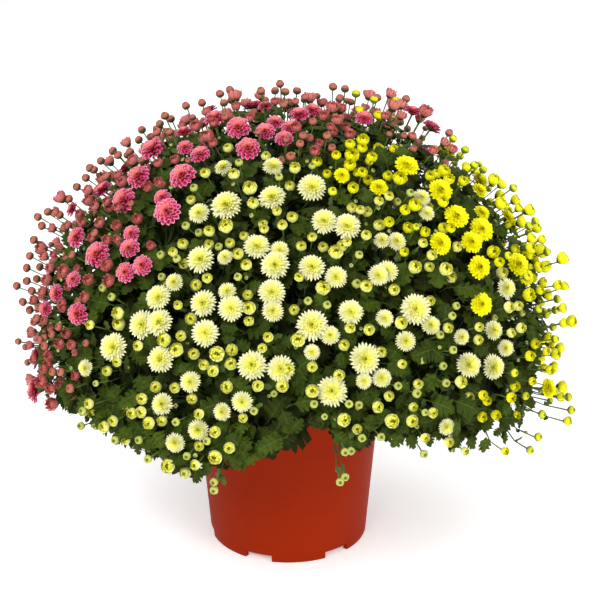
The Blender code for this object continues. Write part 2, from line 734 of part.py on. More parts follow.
def build_pot(finish):
    """The pot: a tapered wall with a rim band, a raised floor with drain holes, and six feet."""
    under_rim = POT_HEIGHT - RIM_HEIGHT
    floor_top = FOOT_HEIGHT + POT_FLOOR
    profile = [
        (pot_radius(FOOT_HEIGHT) - FOOT_DEPTH, FOOT_HEIGHT),
        (pot_radius(FOOT_HEIGHT), FOOT_HEIGHT),
        (pot_radius(under_rim), under_rim),
        (pot_radius(under_rim) + RIM_STEP, under_rim),
        (pot_radius(POT_HEIGHT) + RIM_STEP, POT_HEIGHT),
        (pot_radius(POT_HEIGHT) - POT_WALL, POT_HEIGHT),
        (pot_radius(floor_top) - POT_WALL, floor_top),
    ]
    pot = new_object("pot", *turned_skin(profile, POT_SIDES))
    bm = bmesh.new()
    bm.from_mesh(pot.data)
    bm.faces.ensure_lookup_table()
    sides_to_next_foot = POT_SIDES // FOOT_COUNT
    feet = []
    for face in bm.faces:
        if len(face.verts) != 4 or any(abs(v.co.z - FOOT_HEIGHT) > 1e-6 for v in face.verts):
            continue
        middle = face.calc_center_median() - POT_AXIS
        turn = (math.atan2(middle.y, middle.x) - FIRST_FOOT_EDGE) % (2 * math.pi)
        if int(turn / (2 * math.pi / POT_SIDES)) % sides_to_next_foot < FOOT_SIDES:
            feet.append(face)
    lowered = bmesh.ops.extrude_face_region(bm, geom=feet)["geom"]
    bmesh.ops.delete(bm, geom=feet, context="FACES")
    for vert in (v for v in lowered if isinstance(v, bmesh.types.BMVert)):
        outside = (vert.co - POT_AXIS).to_2d().length > pot_radius(FOOT_HEIGHT) - FOOT_DEPTH / 2
        radius = pot_radius(0.0) - (0.0 if outside else FOOT_DEPTH)
        level = (vert.co - POT_AXIS).to_2d().normalized() * radius
        vert.co = POT_AXIS + Vector((level.x, level.y, 0.0))
    bmesh.ops.recalc_face_normals(bm, faces=bm.faces)
    bm.to_mesh(pot.data)
    bm.free()
    drills = []
    for i in range(DRAIN_HOLES):
        angle = 2 * math.pi * i / DRAIN_HOLES
        place = POT_AXIS + Vector((math.cos(angle), math.sin(angle), 0.0)) * DRAIN_RING
        low = ring(place, Vector((1, 0, 0)), Vector((0, 1, 0)), DRAIN_RADIUS, DRAIN_SIDES)
        high = [v + Vector((0.0, 0.0, 2 * FOOT_HEIGHT)) for v in low]
        drills.append(new_object("drain_drill", *prism(low, high)))
    boolean(pot, "DIFFERENCE", drills)
    pot.data.materials.clear()
    pot.data.materials.append(finish)


def build_soil(stems, finish):
    """The soil: it fills the pot, and each stem stands in a hole of its own."""
    low = FOOT_HEIGHT + POT_FLOOR + GAP
    inset = POT_WALL + 2 * GAP
    edge = pot_radius(SOIL_LEVEL) - inset
    profile = [(pot_radius(low) - inset, low)]
    profile += [(share * edge, soil_height(share * edge)) for share in (1.0, 0.6, 0.2)]
    soil = new_object("soil", *turned_skin(profile, SOIL_SIDES))
    drills = []
    for stem in stems:
        foot, bend, low = stem["route"]
        way = (bend - foot).normalized()
        side, other = across((low - foot).normalized(), Vector((0.0, 1.0, 0.0)))
        low, high = (ring(end, side, other, STEM_RADIUS + 2.2 * GAP, 4)
                     for end in (foot - way * (2 * GAP), foot + way * (2 * STEM_DEPTH)))
        drills.append(new_object("stem_drill", *prism(low, high)))
    boolean(soil, "DIFFERENCE", drills)
    soil.data.materials.clear()
    soil.data.materials.append(finish)


def main():
    clear_scene()
    finishes = {name: material(name) for name in COLOURS}
    flowers = read_from_photo()
    flowers += fill_hidden_side(flowers)
    sprays, leafy = planned_stems(flowers)
    all_sprays = [spray for group in sprays.values() for spray in group]
    thicket, heads = Thicket(), Thicket()
    draw = random.Random(CORE_SEED)
    for stem in leafy:
        others = [other["direction"] for other in leafy if other is not stem]
        stem["own_skin"] = core_skin(stem, others, draw)
        thicket.add(stem["name"], *stem["own_skin"])
    for spray in all_sprays:
        spray["own_skin"] = spray_stem_skin(spray["direction"])
        thicket.add(spray["name"], *spray["own_skin"])
    draw = random.Random(FLOWER_SEED)
    missed = [f for f in flowers if not grow_flower(thicket, heads, sprays, f, draw)]
    draw = random.Random(LEAF_SEED)
    for i in range(LEAF_COUNT):
        share = LEAF_PLACES[i // len(leafy) % len(LEAF_PLACES)]
        grow_leaf(thicket, leafy[i % len(leafy)], share, 4 * i + i // 9, draw)
    for stem in all_sprays + leafy:
        build_stem(stem, finishes)
    build_pot(finishes["pot"])
    build_soil(leafy, finishes["soil"])
    print("flowers", len(flowers), "left out", [(f[0], f[1]) for f in missed])
    print("leaves", sum(len(stem["skins"]) for stem in leafy))


main()
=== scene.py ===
import math
import random
import bmesh
import bpy
from mathutils import Matrix, Vector, noise
from mathutils.kdtree import KDTree


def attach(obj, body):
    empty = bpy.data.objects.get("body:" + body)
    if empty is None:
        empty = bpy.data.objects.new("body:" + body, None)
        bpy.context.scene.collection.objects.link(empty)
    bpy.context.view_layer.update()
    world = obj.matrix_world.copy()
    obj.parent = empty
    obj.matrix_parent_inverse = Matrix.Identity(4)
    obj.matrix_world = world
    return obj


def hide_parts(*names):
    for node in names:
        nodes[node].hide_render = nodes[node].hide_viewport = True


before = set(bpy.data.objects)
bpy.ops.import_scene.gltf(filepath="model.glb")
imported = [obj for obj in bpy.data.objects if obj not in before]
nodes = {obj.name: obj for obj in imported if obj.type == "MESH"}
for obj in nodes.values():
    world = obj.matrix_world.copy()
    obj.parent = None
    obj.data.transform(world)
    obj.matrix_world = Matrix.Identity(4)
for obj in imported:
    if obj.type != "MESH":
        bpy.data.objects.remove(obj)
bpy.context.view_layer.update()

scene = bpy.context.scene

# The photograph's view: it looks a little down on the dome, from the front
photo = {"elevation": 22.5, "distance": 2.6, "target": (0.007, 0.0, 0.339), "focal": 1951, "size": 600}
lookUp = math.radians(photo["elevation"])
eyeForward = Vector((0, math.cos(lookUp), -math.sin(lookUp)))
eyeUp = Vector((0, math.sin(lookUp), math.cos(lookUp)))
eyePlace = Vector(photo["target"]) - eyeForward * photo["distance"]

camera = bpy.data.objects.new("camera", bpy.data.cameras.new("camera"))
camera.data.lens = photo["focal"] / photo["size"] * camera.data.sensor_width
camera.location = eyePlace
camera.rotation_euler = (math.radians(90 - photo["elevation"]), 0, 0)
scene.collection.objects.link(camera)
scene.camera = camera
scene.view_settings.view_transform = "Standard"


# Shader maths written as Python: a wire is a socket, and sums on it add Math nodes
class Wire:
    def __init__(self, finish, socket):
        self.finish, self.socket = finish, socket

    def maths(self, operation, *values):
        return self.finish.maths(operation, *values)

    def __add__(self, other):
        return self.maths("ADD", self, other)

    def __radd__(self, other):
        return self.maths("ADD", other, self)

    def __sub__(self, other):
        return self.maths("SUBTRACT", self, other)

    def __rsub__(self, other):
        return self.maths("SUBTRACT", other, self)

    def __mul__(self, other):
        return self.maths("MULTIPLY", self, other)

    def __rmul__(self, other):
        return self.maths("MULTIPLY", other, self)

    def __abs__(self):
        return self.maths("ABSOLUTE", self)


class Finish:
    def __init__(self, name, **constants):
        self.material = bpy.data.materials.new(name)
        self.material.use_nodes = True
        self.tree = self.material.node_tree
        self.shader = self.tree.nodes["Principled BSDF"]
        for socket, value in constants.items():
            self.shader.inputs[socket.replace("_", " ")].default_value = value

    def add(self, kind, settings={}, inputs={}, output=0):
        node = self.tree.nodes.new(kind)
        for name, value in settings.items():
            setattr(node, name, value)
        for socket, value in inputs.items():
            self.put(node.inputs[socket], value)
        return Wire(self, node.outputs[output])

    def put(self, socket, value):
        if isinstance(value, Wire):
            self.tree.links.new(value.socket, socket)
        elif isinstance(value, tuple) and len(socket.default_value) == 4:
            socket.default_value = (*value, 1)
        else:
            socket.default_value = value

    def feed(self, socket, value):
        self.put(self.shader.inputs[socket], value)

    def maths(self, operation, *values):
        return self.add("ShaderNodeMath", {"operation": operation}, dict(enumerate(values)))

    def mix(self, share, first, second, blend="MIX"):
        settings = {"data_type": "RGBA", "blend_type": blend}
        return self.add("ShaderNodeMix", settings, {0: share, 6: first, 7: second}, 2)

    def attribute(self, name):
        return self.add("ShaderNodeAttribute", {"attribute_name": name}, output="Fac")

    def place(self):
        return self.add("ShaderNodeTexCoord", output="Object")

    def speckle(self, scale, detail):
        inputs = {"Vector": self.place(), "Scale": scale, "Detail": detail}
        return self.add("ShaderNodeTexNoise", inputs=inputs)

    def between(self, value, low, high):
        inputs = {"Value": value, "From Min": low, "From Max": high, "To Min": 0.0, "To Max": 1.0}
        return self.add("ShaderNodeMapRange", {"interpolation_type": "SMOOTHSTEP"}, inputs)

    def bump(self, height, distance, strength):
        inputs = {"Height": height, "Distance": distance, "Strength": strength}
        self.feed("Normal", self.add("ShaderNodeBump", inputs=inputs))


# What flower sprays, stalks and leaves carry on their points, for their finishes to read
marks = ("layer", "along", "across", "chance", "youth")


def newSkin():
    bm = bmesh.new()
    for name in marks:
        bm.verts.layers.float.new(name)
    return bm


def mark(bm, points, **values):
    for name, value in values.items():
        layer = bm.verts.layers.float[name]
        for point in points:
            point[layer] = value


def stamp(bm, mesh, matrix, **values):
    before = len(bm.verts)
    bm.from_mesh(mesh)
    bm.verts.ensure_lookup_table()
    points = bm.verts[before:]
    bmesh.ops.transform(bm, matrix=matrix, verts=points)
    mark(bm, points, **values)


def asMesh(bm, name):
    mesh = bpy.data.meshes.new(name)
    bm.to_mesh(mesh)
    bm.free()
    return mesh


def asPiece(bm, name, finish, slot, replaced, smooth=True):
    for face in bm.faces:
        face.smooth = smooth
    piece = bpy.data.objects.new(name, asMesh(bm, name))
    piece.data.materials.append(finish.material)
    scene.collection.objects.link(piece)
    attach(piece, "root")
    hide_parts(replaced)


def sheet(bm, columns, rows, shape, **values):
    # a grid laid to a shape, which gives a place for each point across (-1 to 1) and along (0 to 1)
    points = bmesh.ops.create_grid(bm, x_segments=columns, y_segments=rows, size=0.5)["verts"]
    for point in points:
        across, along = point.co.x * 2, point.co.y + 0.5
        point.co = shape(across, along)
        mark(bm, [point], along=along, across=across, **values)
    return points


def ball(bm, radius, height, **values):
    points = bmesh.ops.create_icosphere(bm, subdivisions=1, radius=radius)["verts"]
    bmesh.ops.translate(bm, verts=points, vec=(0, 0, height))
    mark(bm, points, along=0.5, **values)


def acrossAxis(axis):
    side = axis.cross(Vector((0, 0, 1)))
    if side.length < 1e-3:
        side = axis.cross(Vector((1, 0, 0)))
    side.normalize()
    return side, axis.cross(side)


def aboutAxis(axis, turn):
    side, other = acrossAxis(axis)
    return side * math.cos(turn) + other * math.sin(turn)


def nearestPoints(places):
    tree = KDTree(len(places))
    for i, place in enumerate(places):
        tree.insert(place, i)
    tree.balance()
    return tree


def standing(place, normal, turn, size):
    side, other = acrossAxis(normal)
    axes = Matrix((side, other, normal)).transposed().to_4x4()
    return Matrix.Translation(place) @ axes @ Matrix.Rotation(turn, 4, "Z") @ Matrix.Scale(size, 4)


def tubeAlong(bm, route, radii, sides=5):
    # a tube of rings, pulled from one to the next along the route
    way = (route[1] - route[0]).normalized()
    ring = bmesh.ops.create_circle(bm, segments=sides, radius=radii[0], cap_ends=True)["verts"]
    bmesh.ops.transform(bm, matrix=standing(route[0], way, 0, 1), verts=ring)
    points = list(ring)
    edges = list({edge for vert in ring for edge in vert.link_edges})
    for i in range(1, len(route)):
        after = route[min(i + 1, len(route) - 1)] - route[i - 1]
        pulled = bmesh.ops.extrude_edge_only(bm, edges=edges)["geom"]
        ring = [v for v in pulled if isinstance(v, bmesh.types.BMVert)]
        edges = [e for e in pulled if isinstance(e, bmesh.types.BMEdge) and all(v in ring for v in e.verts)]
        middle = sum((v.co for v in ring), Vector()) / sides
        turned = way.rotation_difference(after.normalized()).to_matrix().to_4x4()
        grown = Matrix.Scale(radii[i] / radii[i - 1], 4)
        moved = Matrix.Translation(route[i]) @ turned @ grown @ Matrix.Translation(-middle)
        bmesh.ops.transform(bm, matrix=moved, verts=ring)
        way = after.normalized()
        points += ring
    bmesh.ops.holes_fill(bm, edges=edges, sides=sides)
    return points


def bend(start, startWay, end, endWay, steps):
    # points on a smooth bend from one place and way to another
    points = []
    for i in range(steps + 1):
        t = i / steps
        a, b = start.lerp(start + startWay, t), (start + startWay).lerp(end + endWay, t)
        c = (end + endWay).lerp(end, t)
        points.append(a.lerp(b, t).lerp(b.lerp(c, t), t))
    return points


# The dome, and the shells of it where the flowers face
dome = {"centre": (0, 0, 0.247), "open": 0.350, "half": 0.354, "bud": 0.361, "furthest": 0.373}
domeCentre = Vector(dome["centre"])


def seenOnDome(column, row, shell):
    # where the line of sight through a pixel meets a shell of the dome, or passes nearest to it
    sight = eyeForward + Vector(((column - photo["size"] / 2) / photo["focal"], 0, 0))
    sight = (sight - eyeUp * ((row - photo["size"] / 2) / photo["focal"])).normalized()
    nearest = sight.dot(domeCentre - eyePlace)
    offset = eyePlace + sight * nearest - domeCentre
    if offset.length > shell:
        return eyePlace + sight * nearest
    return eyePlace + sight * (nearest - math.sqrt(shell ** 2 - offset.length_squared))


def widthSeen(place, pixels):
    return pixels * (place - eyePlace).dot(eyeForward) / photo["focal"]


# Each flower that the solids hold: its column, row and width in the photograph's frame, in pixels
openSeen = {
    "pink": (
        (152, 149, 25), (138, 176, 24), (123, 200, 26), (182, 175, 27), (200, 154, 20), (185, 147, 16),
        (167, 211, 27), (162, 197, 17), (238, 127, 24), (248, 148, 24), (265, 131, 20), (284, 138, 18),
        (275, 122, 17), (290, 127, 18), (299, 114, 20), (313, 110, 18), (215, 118, 22), (209, 110, 17),
        (184, 132, 18), (265, 106, 16), (364, 118, 18), (359, 110, 16), (413, 111, 19), (432, 127, 20),
        (103, 189, 20), (72, 209, 16), (76, 237, 21), (97, 254, 26), (131, 233, 17), (129, 248, 20),
        (142, 265, 20), (125, 272, 20), (77, 314, 22), (56, 293, 18), (45, 309, 16), (73, 279, 16)),
    "white": (
        (199, 213, 21), (226, 205, 30), (272, 197, 27), (312, 187, 28), (273, 166, 20), (223, 167, 17),
        (200, 259, 27), (257, 246, 26), (275, 265, 28), (279, 248, 19), (272, 292, 27), (273, 311, 21),
        (203, 303, 26), (231, 308, 26), (227, 291, 18), (205, 333, 27), (159, 322, 27), (158, 297, 26),
        (174, 282, 18), (225, 257, 16), (139, 324, 29), (113, 347, 28), (160, 359, 27), (85, 368, 17),
        (324, 221, 25), (347, 226, 27), (312, 267, 26), (336, 277, 22), (387, 271, 22), (377, 277, 21),
        (397, 241, 19), (382, 240, 16), (351, 312, 25), (312, 325, 31), (416, 309, 31), (385, 318, 18),
        (431, 325, 20), (406, 341, 20), (330, 335, 19), (312, 352, 16), (365, 359, 31), (252, 365, 29),
        (281, 369, 27), (190, 382, 21), (242, 402, 21), (198, 430, 21), (175, 443, 20), (222, 412, 18),
        (162, 404, 22), (332, 391, 30), (382, 378, 19), (364, 381, 16), (447, 427, 17), (422, 197, 18),
        (427, 213, 16), (507, 288, 20), (494, 330, 19), (462, 337, 16), (506, 348, 17), (469, 365, 25),
        (494, 367, 25)),
    "yellow": (
        (407, 165, 24), (379, 187, 18), (441, 190, 24), (457, 216, 25), (482, 212, 16), (482, 229, 25),
        (472, 242, 22), (441, 243, 23), (480, 267, 23), (482, 304, 23), (519, 264, 23), (527, 277, 16),
        (480, 190, 17), (508, 216, 17), (342, 175, 16), (549, 388, 20))}
halfSeen = {
    "pink": (
        (235, 95, 15), (337, 120, 12), (394, 105, 15), (426, 111, 15), (369, 94, 13), (310, 97, 14),
        (60, 197, 14), (103, 178, 15), (64, 271, 14), (109, 281, 13), (47, 280, 13), (41, 248, 14),
        (42, 381, 15), (69, 415, 12), (89, 200, 14), (196, 126, 13), (159, 139, 13), (207, 136, 14)),
    "white": (
        (250, 188, 15), (336, 252, 15), (323, 288, 15), (392, 421, 15), (249, 308, 14), (164, 340, 15),
        (298, 340, 15), (344, 420, 14), (168, 466, 15), (215, 457, 15), (118, 313, 13), (132, 413, 12),
        (104, 427, 12), (461, 382, 13), (412, 421, 13)),
    "yellow": (
        (522, 222, 13), (542, 251, 15), (563, 258, 14), (572, 321, 13), (352, 155, 15), (400, 178, 15),
        (529, 295, 14), (493, 252, 14), (415, 205, 14), (501, 203, 14), (363, 140, 13), (556, 354, 12))}
budSeen = {
    "pink": (
        (86, 178, 8), (48, 212, 8), (30, 256, 8), (27, 281, 8), (17, 286, 8), (23, 302, 8),
        (37, 318, 8), (40, 340, 8), (53, 372, 8), (186, 106, 8), (280, 84, 8), (333, 87, 8)),
    "white": ((83, 411, 8), (115, 440, 8), (148, 459, 8), (185, 473, 8), (214, 490, 8), (340, 482, 8)),
    "yellow": (
        (383, 95, 8), (453, 139, 8), (483, 170, 8), (513, 188, 8), (557, 299, 8), (555, 339, 8),
        (571, 410, 8), (538, 437, 8))}

# The hidden side of the dome, filled by a rule: the same one that placed the solids' flowers
hidden = {
    "places": 184, "halfOpenShare": 5, "budShare": 8, "lowestSine": -0.10, "beyond": 0.13, "spacing": 0.041,
    "openRadii": (0.0130, 0.0182), "halfOpenRadii": (0.0072, 0.0095), "budRadius": 0.0045, "seed": 11,
    "wander": 0.05, "climb": 0.02, "budWander": 0.08}
plantWays = {"white": Vector((-0.10, -0.95, 0.10)), "pink": Vector((-0.35, 0.60, 0.70)),
             "yellow": Vector((0.92, -0.15, 0.10))}
facingRule = {"lightwards": Vector((0, -0.75, 0.65)), "lean": 0.30, "uneven": 0.20, "seed": 7, "sideShare": 0.5,
              "frontRate": 1.2}


def colourOf(direction):
    return max(plantWays, key=lambda name: direction.dot(plantWays[name].normalized()))


def readFlowers():
    flowers = []
    for kind, seen in (("open", openSeen), ("half", halfSeen), ("bud", budSeen)):
        for colour, places in seen.items():
            for column, row, width in places:
                place = seenOnDome(column, row, dome[kind])
                flowers.append((kind, colour, place, widthSeen(place, width) / 2))
    return flowers


def spiralWay(i, rule, draw):
    # the way to a place on an even spiral over the dome, moved a little
    sine = rule["lowestSine"] + (1 - rule["lowestSine"]) * (i + 0.5) / rule["places"]
    angle = math.pi * (3 - math.sqrt(5)) * i + draw.uniform(-rule["wander"], rule["wander"])
    level = math.sqrt(1 - sine ** 2)
    height = sine + draw.uniform(-rule["climb"], rule["climb"])
    return Vector((level * math.cos(angle), level * math.sin(angle), height)).normalized()


def unevenness(draw):
    return Vector((draw.uniform(-1, 1), draw.uniform(-1, 1), draw.uniform(-1, 1)))


towardsEye = (eyePlace - domeCentre).normalized()


def hiddenFlowers(flowers):
    draw = random.Random(hidden["seed"])
    added = []
    for i in range(hidden["places"]):
        direction = spiralWay(i, hidden, draw)
        halfOpen = i % hidden["halfOpenShare"] == 0
        radius = draw.uniform(*hidden["halfOpenRadii" if halfOpen else "openRadii"])
        place = domeCentre + direction * dome["half" if halfOpen else "open"]
        if direction.dot(towardsEye) > hidden["beyond"]:
            continue
        if any((place - f[2]).length < hidden["spacing"] for f in flowers if f[0] == "open"):
            continue
        added.append(("half" if halfOpen else "open", colourOf(direction), place, radius))
        if i % hidden["budShare"] == 1:
            direction = (direction + unevenness(draw) * hidden["budWander"]).normalized()
            place = domeCentre + direction * dome["furthest"]
            added.append(("bud", colourOf(direction), place, hidden["budRadius"]))
    return added


def facing(direction, draw):
    front = min(max(facingRule["sideShare"] - facingRule["frontRate"] * direction.y, 0), 1)
    lean = facingRule["lightwards"] * (facingRule["lean"] * front)
    return (direction + lean + unevenness(draw) * facingRule["uneven"]).normalized()


# Each flower is looked up in the solids, which may have moved it a little to miss its neighbours
sprayNames = sorted(name for name in nodes if "_spray_" in name)
leafyNames = sorted(name for name in nodes if name.startswith("leafy_stem"))
solidPoints = [(v.co.copy(), name) for name in sprayNames for v in nodes[name].data.vertices]
solidTree = nearestPoints([point for point, name in solidPoints])
tried = {"sizes": (1.0, 0.9, 0.8, 0.7), "lifts": (0.0, -0.006, 0.006, -0.011, 0.011, -0.016), "within": 0.0003}
tipRules = {"open": (-0.04, 6), "half": (0.45, 4), "bud": (0.0, 4)}
wideBloom = 0.0170  # a bloom of a larger radius has a petal more in the solids


def foundInSolids(kind, place, direction, normal, turn, radius):
    height, petals = tipRules[kind]
    for size in tried["sizes"]:
        r = radius * size
        count = 7 if kind == "open" and r > wideBloom else petals
        for lift in tried["lifts"]:
            face = place + direction * lift
            hits = []
            for k in (0, 1):
                angle = turn + k * 2 * math.pi / count
                tip = face + aboutAxis(normal, angle) * r + normal * (r * height)
                found = solidTree.find(tip)
                if found[2] > tried["within"]:
                    break
                hits.append(solidPoints[found[1]][1])
            if len(hits) == 2:
                return face, r, hits[0]
    return None


flowers = readFlowers()
flowers += hiddenFlowers(flowers)
bloomDraw = random.Random(facingRule["seed"])
placed = []
for kind, colour, place, radius in flowers:
    direction = (place - domeCentre).normalized()
    normal = facing(direction, bloomDraw)
    turn = bloomDraw.uniform(0, math.pi)
    found = foundInSolids(kind, place, direction, normal, turn, radius)
    if found:
        placed.append({"kind": kind, "colour": colour, "place": found[0], "normal": normal, "turn": turn,
                       "radius": found[1], "spray": found[2]})
print("flowers found in the solids:", len(placed), "of", len(flowers))


# The many half-open blooms and buds between them, read from the photograph in the same way
moreHalfSeen = {
    "white": (
        (228, 148, 11), (234, 174, 12), (205, 173, 11), (191, 200, 10), (253, 203, 12), (266, 156, 10),
        (295, 168, 12), (290, 186, 11), (277, 211, 10), (292, 217, 12), (183, 244, 12), (173, 252, 10),
        (184, 264, 11), (209, 231, 12), (226, 226, 15), (263, 224, 10), (264, 229, 10), (282, 225, 11),
        (238, 254, 12), (230, 243, 11), (244, 236, 10), (209, 245, 11), (246, 265, 12), (207, 278, 11),
        (196, 285, 12), (178, 305, 10), (248, 295, 11), (249, 321, 11), (191, 319, 13), (181, 336, 11),
        (176, 350, 15), (194, 354, 12), (217, 354, 16), (232, 350, 13), (231, 364, 13), (204, 365, 11),
        (213, 371, 12), (268, 337, 11), (262, 348, 10), (294, 310, 11), (299, 277, 10), (301, 246, 11),
        (312, 237, 10), (323, 247, 11), (342, 246, 12), (366, 235, 11), (379, 225, 12), (352, 208, 11),
        (360, 210, 10), (367, 212, 11), (347, 242, 10), (415, 267, 14), (429, 267, 11), (394, 290, 12),
        (366, 286, 13), (350, 328, 11), (369, 330, 12), (344, 345, 12), (401, 323, 14), (430, 301, 11),
        (381, 352, 12), (423, 243, 10), (432, 255, 11), (389, 196, 10), (379, 201, 10), (457, 247, 11),
        (451, 277, 12), (502, 273, 13), (478, 340, 11), (479, 327, 10), (448, 328, 11), (509, 307, 12),
        (518, 306, 11), (521, 328, 11), (511, 333, 10), (469, 397, 11), (90, 325, 10), (119, 324, 14),
        (138, 346, 11), (117, 362, 10), (107, 371, 11), (156, 387, 12), (142, 399, 12), (175, 388, 11),
        (149, 423, 13), (162, 421, 11), (125, 405, 10), (141, 412, 12), (83, 411, 12), (92, 414, 10),
        (89, 404, 11), (113, 421, 11), (126, 440, 10), (148, 459, 9), (185, 473, 12), (229, 448, 12),
        (199, 446, 11), (215, 432, 12), (199, 414, 11), (192, 399, 11), (227, 387, 13), (258, 386, 12),
        (282, 386, 13), (289, 369, 11), (243, 418, 10), (214, 490, 9), (195, 465, 11), (312, 391, 14),
        (312, 367, 11), (339, 375, 12), (357, 429, 11), (378, 407, 12), (389, 396, 11), (402, 364, 10),
        (418, 384, 11), (413, 407, 10), (433, 413, 11), (425, 438, 10), (449, 442, 11), (465, 451, 9),
        (446, 269, 14)),
    "yellow": (
        (350, 144, 11), (362, 148, 11), (378, 149, 12), (394, 149, 10), (372, 157, 11), (336, 155, 10),
        (317, 162, 11), (350, 165, 13), (362, 172, 11), (327, 174, 10), (353, 188, 12), (368, 180, 11),
        (388, 176, 11), (436, 174, 10), (430, 176, 11), (405, 210, 11), (427, 207, 12), (408, 228, 12),
        (425, 232, 11), (404, 252, 10), (389, 222, 11), (443, 228, 11), (451, 228, 10), (467, 167, 12),
        (463, 181, 11), (494, 179, 13), (502, 184, 11), (500, 195, 12), (516, 200, 12), (519, 208, 10),
        (530, 210, 13), (537, 228, 11), (532, 238, 11), (542, 239, 10), (515, 249, 11), (531, 248, 12),
        (499, 262, 11), (539, 267, 11), (548, 265, 10), (543, 282, 11), (540, 290, 10), (558, 285, 11),
        (565, 286, 10), (563, 308, 11), (564, 323, 10), (535, 344, 11), (530, 356, 11), (550, 370, 10),
        (515, 386, 11), (482, 417, 11), (487, 401, 10), (483, 395, 10), (496, 415, 11), (516, 416, 10),
        (511, 398, 11), (505, 451, 9), (568, 421, 10), (561, 397, 10), (444, 171, 14), (449, 179, 12)),
    "pink": (
        (123, 182, 12), (148, 187, 11), (100, 223, 12), (117, 226, 11), (138, 219, 12), (126, 142, 12),
        (109, 161, 12), (55, 212, 11), (186, 119, 12), (246, 103, 12), (260, 95, 11), (341, 108, 12),
        (390, 114, 11), (402, 115, 11), (375, 112, 12), (445, 142, 11), (453, 149, 10), (319, 144, 10),
        (315, 151, 11), (119, 242, 10), (56, 242, 11), (44, 256, 11), (92, 238, 10), (107, 240, 11),
        (151, 246, 10), (85, 297, 11), (67, 333, 12), (60, 344, 11), (72, 345, 10), (61, 384, 12),
        (51, 389, 11), (76, 376, 10), (213, 143, 10), (332, 107, 14), (391, 93, 12), (89, 280, 12),
        (107, 265, 14), (52, 404, 15), (133, 160, 12), (146, 170, 11), (118, 175, 11), (158, 163, 10),
        (110, 208, 11), (83, 222, 11), (88, 190, 11), (172, 138, 12), (228, 117, 11), (250, 118, 11),
        (324, 116, 12), (348, 117, 11), (402, 104, 12), (420, 118, 11), (288, 103, 12), (175, 160, 10),
        (64, 228, 11), (52, 228, 10), (68, 256, 11), (50, 268, 11), (62, 304, 11), (42, 295, 11))}
moreBudsSeen = {
    "pink": (
        (142, 130), (139, 140), (113, 151), (118, 155), (101, 161), (90, 168), (94, 170), (77, 187),
        (69, 199), (38, 217), (42, 226), (202, 103), (220, 94), (230, 90), (261, 91), (275, 91),
        (285, 92), (297, 91), (165, 116), (171, 119), (160, 124), (157, 132), (170, 132), (224, 103),
        (324, 102), (345, 89), (340, 98), (377, 98), (406, 99), (449, 133), (303, 136), (327, 136),
        (300, 144), (332, 148), (413, 149), (27, 268), (40, 267), (37, 279), (32, 291), (41, 323),
        (51, 328), (59, 327), (45, 338), (45, 346), (61, 372), (130, 152), (151, 137), (107, 176),
        (60, 215), (34, 240), (30, 310)),
    "yellow": (
        (356, 94), (465, 150), (460, 156), (474, 165), (535, 221), (529, 226), (555, 310), (538, 309),
        (525, 396), (514, 373), (530, 450), (542, 414), (568, 397), (374, 100), (395, 100), (547, 252)),
    "white": (
        (239, 163), (194, 188), (279, 177), (186, 226), (199, 233), (161, 255), (177, 259), (219, 247),
        (238, 277), (162, 277), (112, 297), (103, 288), (214, 482), (207, 441), (187, 456), (176, 422),
        (254, 411), (314, 404), (349, 404), (359, 405), (345, 477), (345, 452), (351, 451), (362, 438),
        (381, 437), (424, 454), (398, 386), (422, 360), (446, 383), (443, 366), (456, 306), (452, 316),
        (440, 335), (453, 350), (81, 426), (96, 426), (139, 440), (327, 305), (308, 301), (359, 255),
        (397, 202), (410, 193))}
more = {"shells": (0.353, 0.359, 0.347, 0.341), "budShells": (0.359, 0.352, 0.364, 0.345), "budWidth": 8,
        "depths": (-0.10, 0.10), "furthest": 0.371, "nearOutline": 0.004, "depthTries": 8, "better": 0.001,
        "seed": 21}
moreHidden = {"places": 1000, "lowestSine": hidden["lowestSine"], "wander": 0.08, "climb": 0.03,
              "halfShare": 0.55, "halfRadii": (0.0060, 0.0088), "budRadii": (0.0038, 0.0055), "room": 0.001}
filling = {"places": 1100, "lowestSine": 0.12, "wander": 0.1, "climb": 0.03, "radii": (0.0050, 0.0074),
           "share": {"pink": 0.50, "yellow": 0.26, "white": 0.07},
           "halfShare": {"pink": 0.62, "yellow": 0.5, "white": 0.0}, "room": 0.0025, "budSize": 0.75}


def spreadInDepth(column, row, shell, draw):
    # a place at the dome's outline lies anywhere along its line of sight that is near enough to the dome
    place = seenOnDome(column, row, shell)
    sight = (place - eyePlace).normalized()
    nearest = sight.dot(domeCentre - eyePlace)
    middle = eyePlace + sight * nearest
    if (middle - domeCentre).length < shell - more["nearOutline"]:
        return place
    for i in range(more["depthTries"]):
        place = middle + sight * draw.uniform(*more["depths"])
        if (place - domeCentre).length < more["furthest"]:
            return place
    return middle


def keptClear(direction, shells, radius, fromPhoto=None):
    # the place, over a few shells, with the most room round it
    best = None
    for shell in shells:
        place = spreadInDepth(*fromPhoto, shell, moreDraw) if fromPhoto else domeCentre + direction * shell
        room = min((place - f["place"]).length - f["radius"] - radius for f in placed)
        if best is None or room > best[1] + more["better"]:
            best = (place, room)
    return best


def nearestSpray(colour, direction):
    return min((name for name in sprayNames if name.startswith(colour)),
               key=lambda name: (direction - sprayWays[name]).length)


def addFlower(kind, colour, place, radius):
    direction = (place - domeCentre).normalized()
    placed.append({"kind": kind, "colour": colour, "place": place, "normal": facing(direction, moreDraw),
                   "turn": moreDraw.uniform(0, math.pi), "radius": radius,
                   "spray": nearestSpray(colour, direction)})


def addSeen(kind, seen, shells):
    for colour, places in seen.items():
        for column, row, width in places:
            radius = widthSeen(seenOnDome(column, row, dome[kind]), width) / 2
            addFlower(kind, colour, keptClear(None, shells, radius, (column, row))[0], radius)


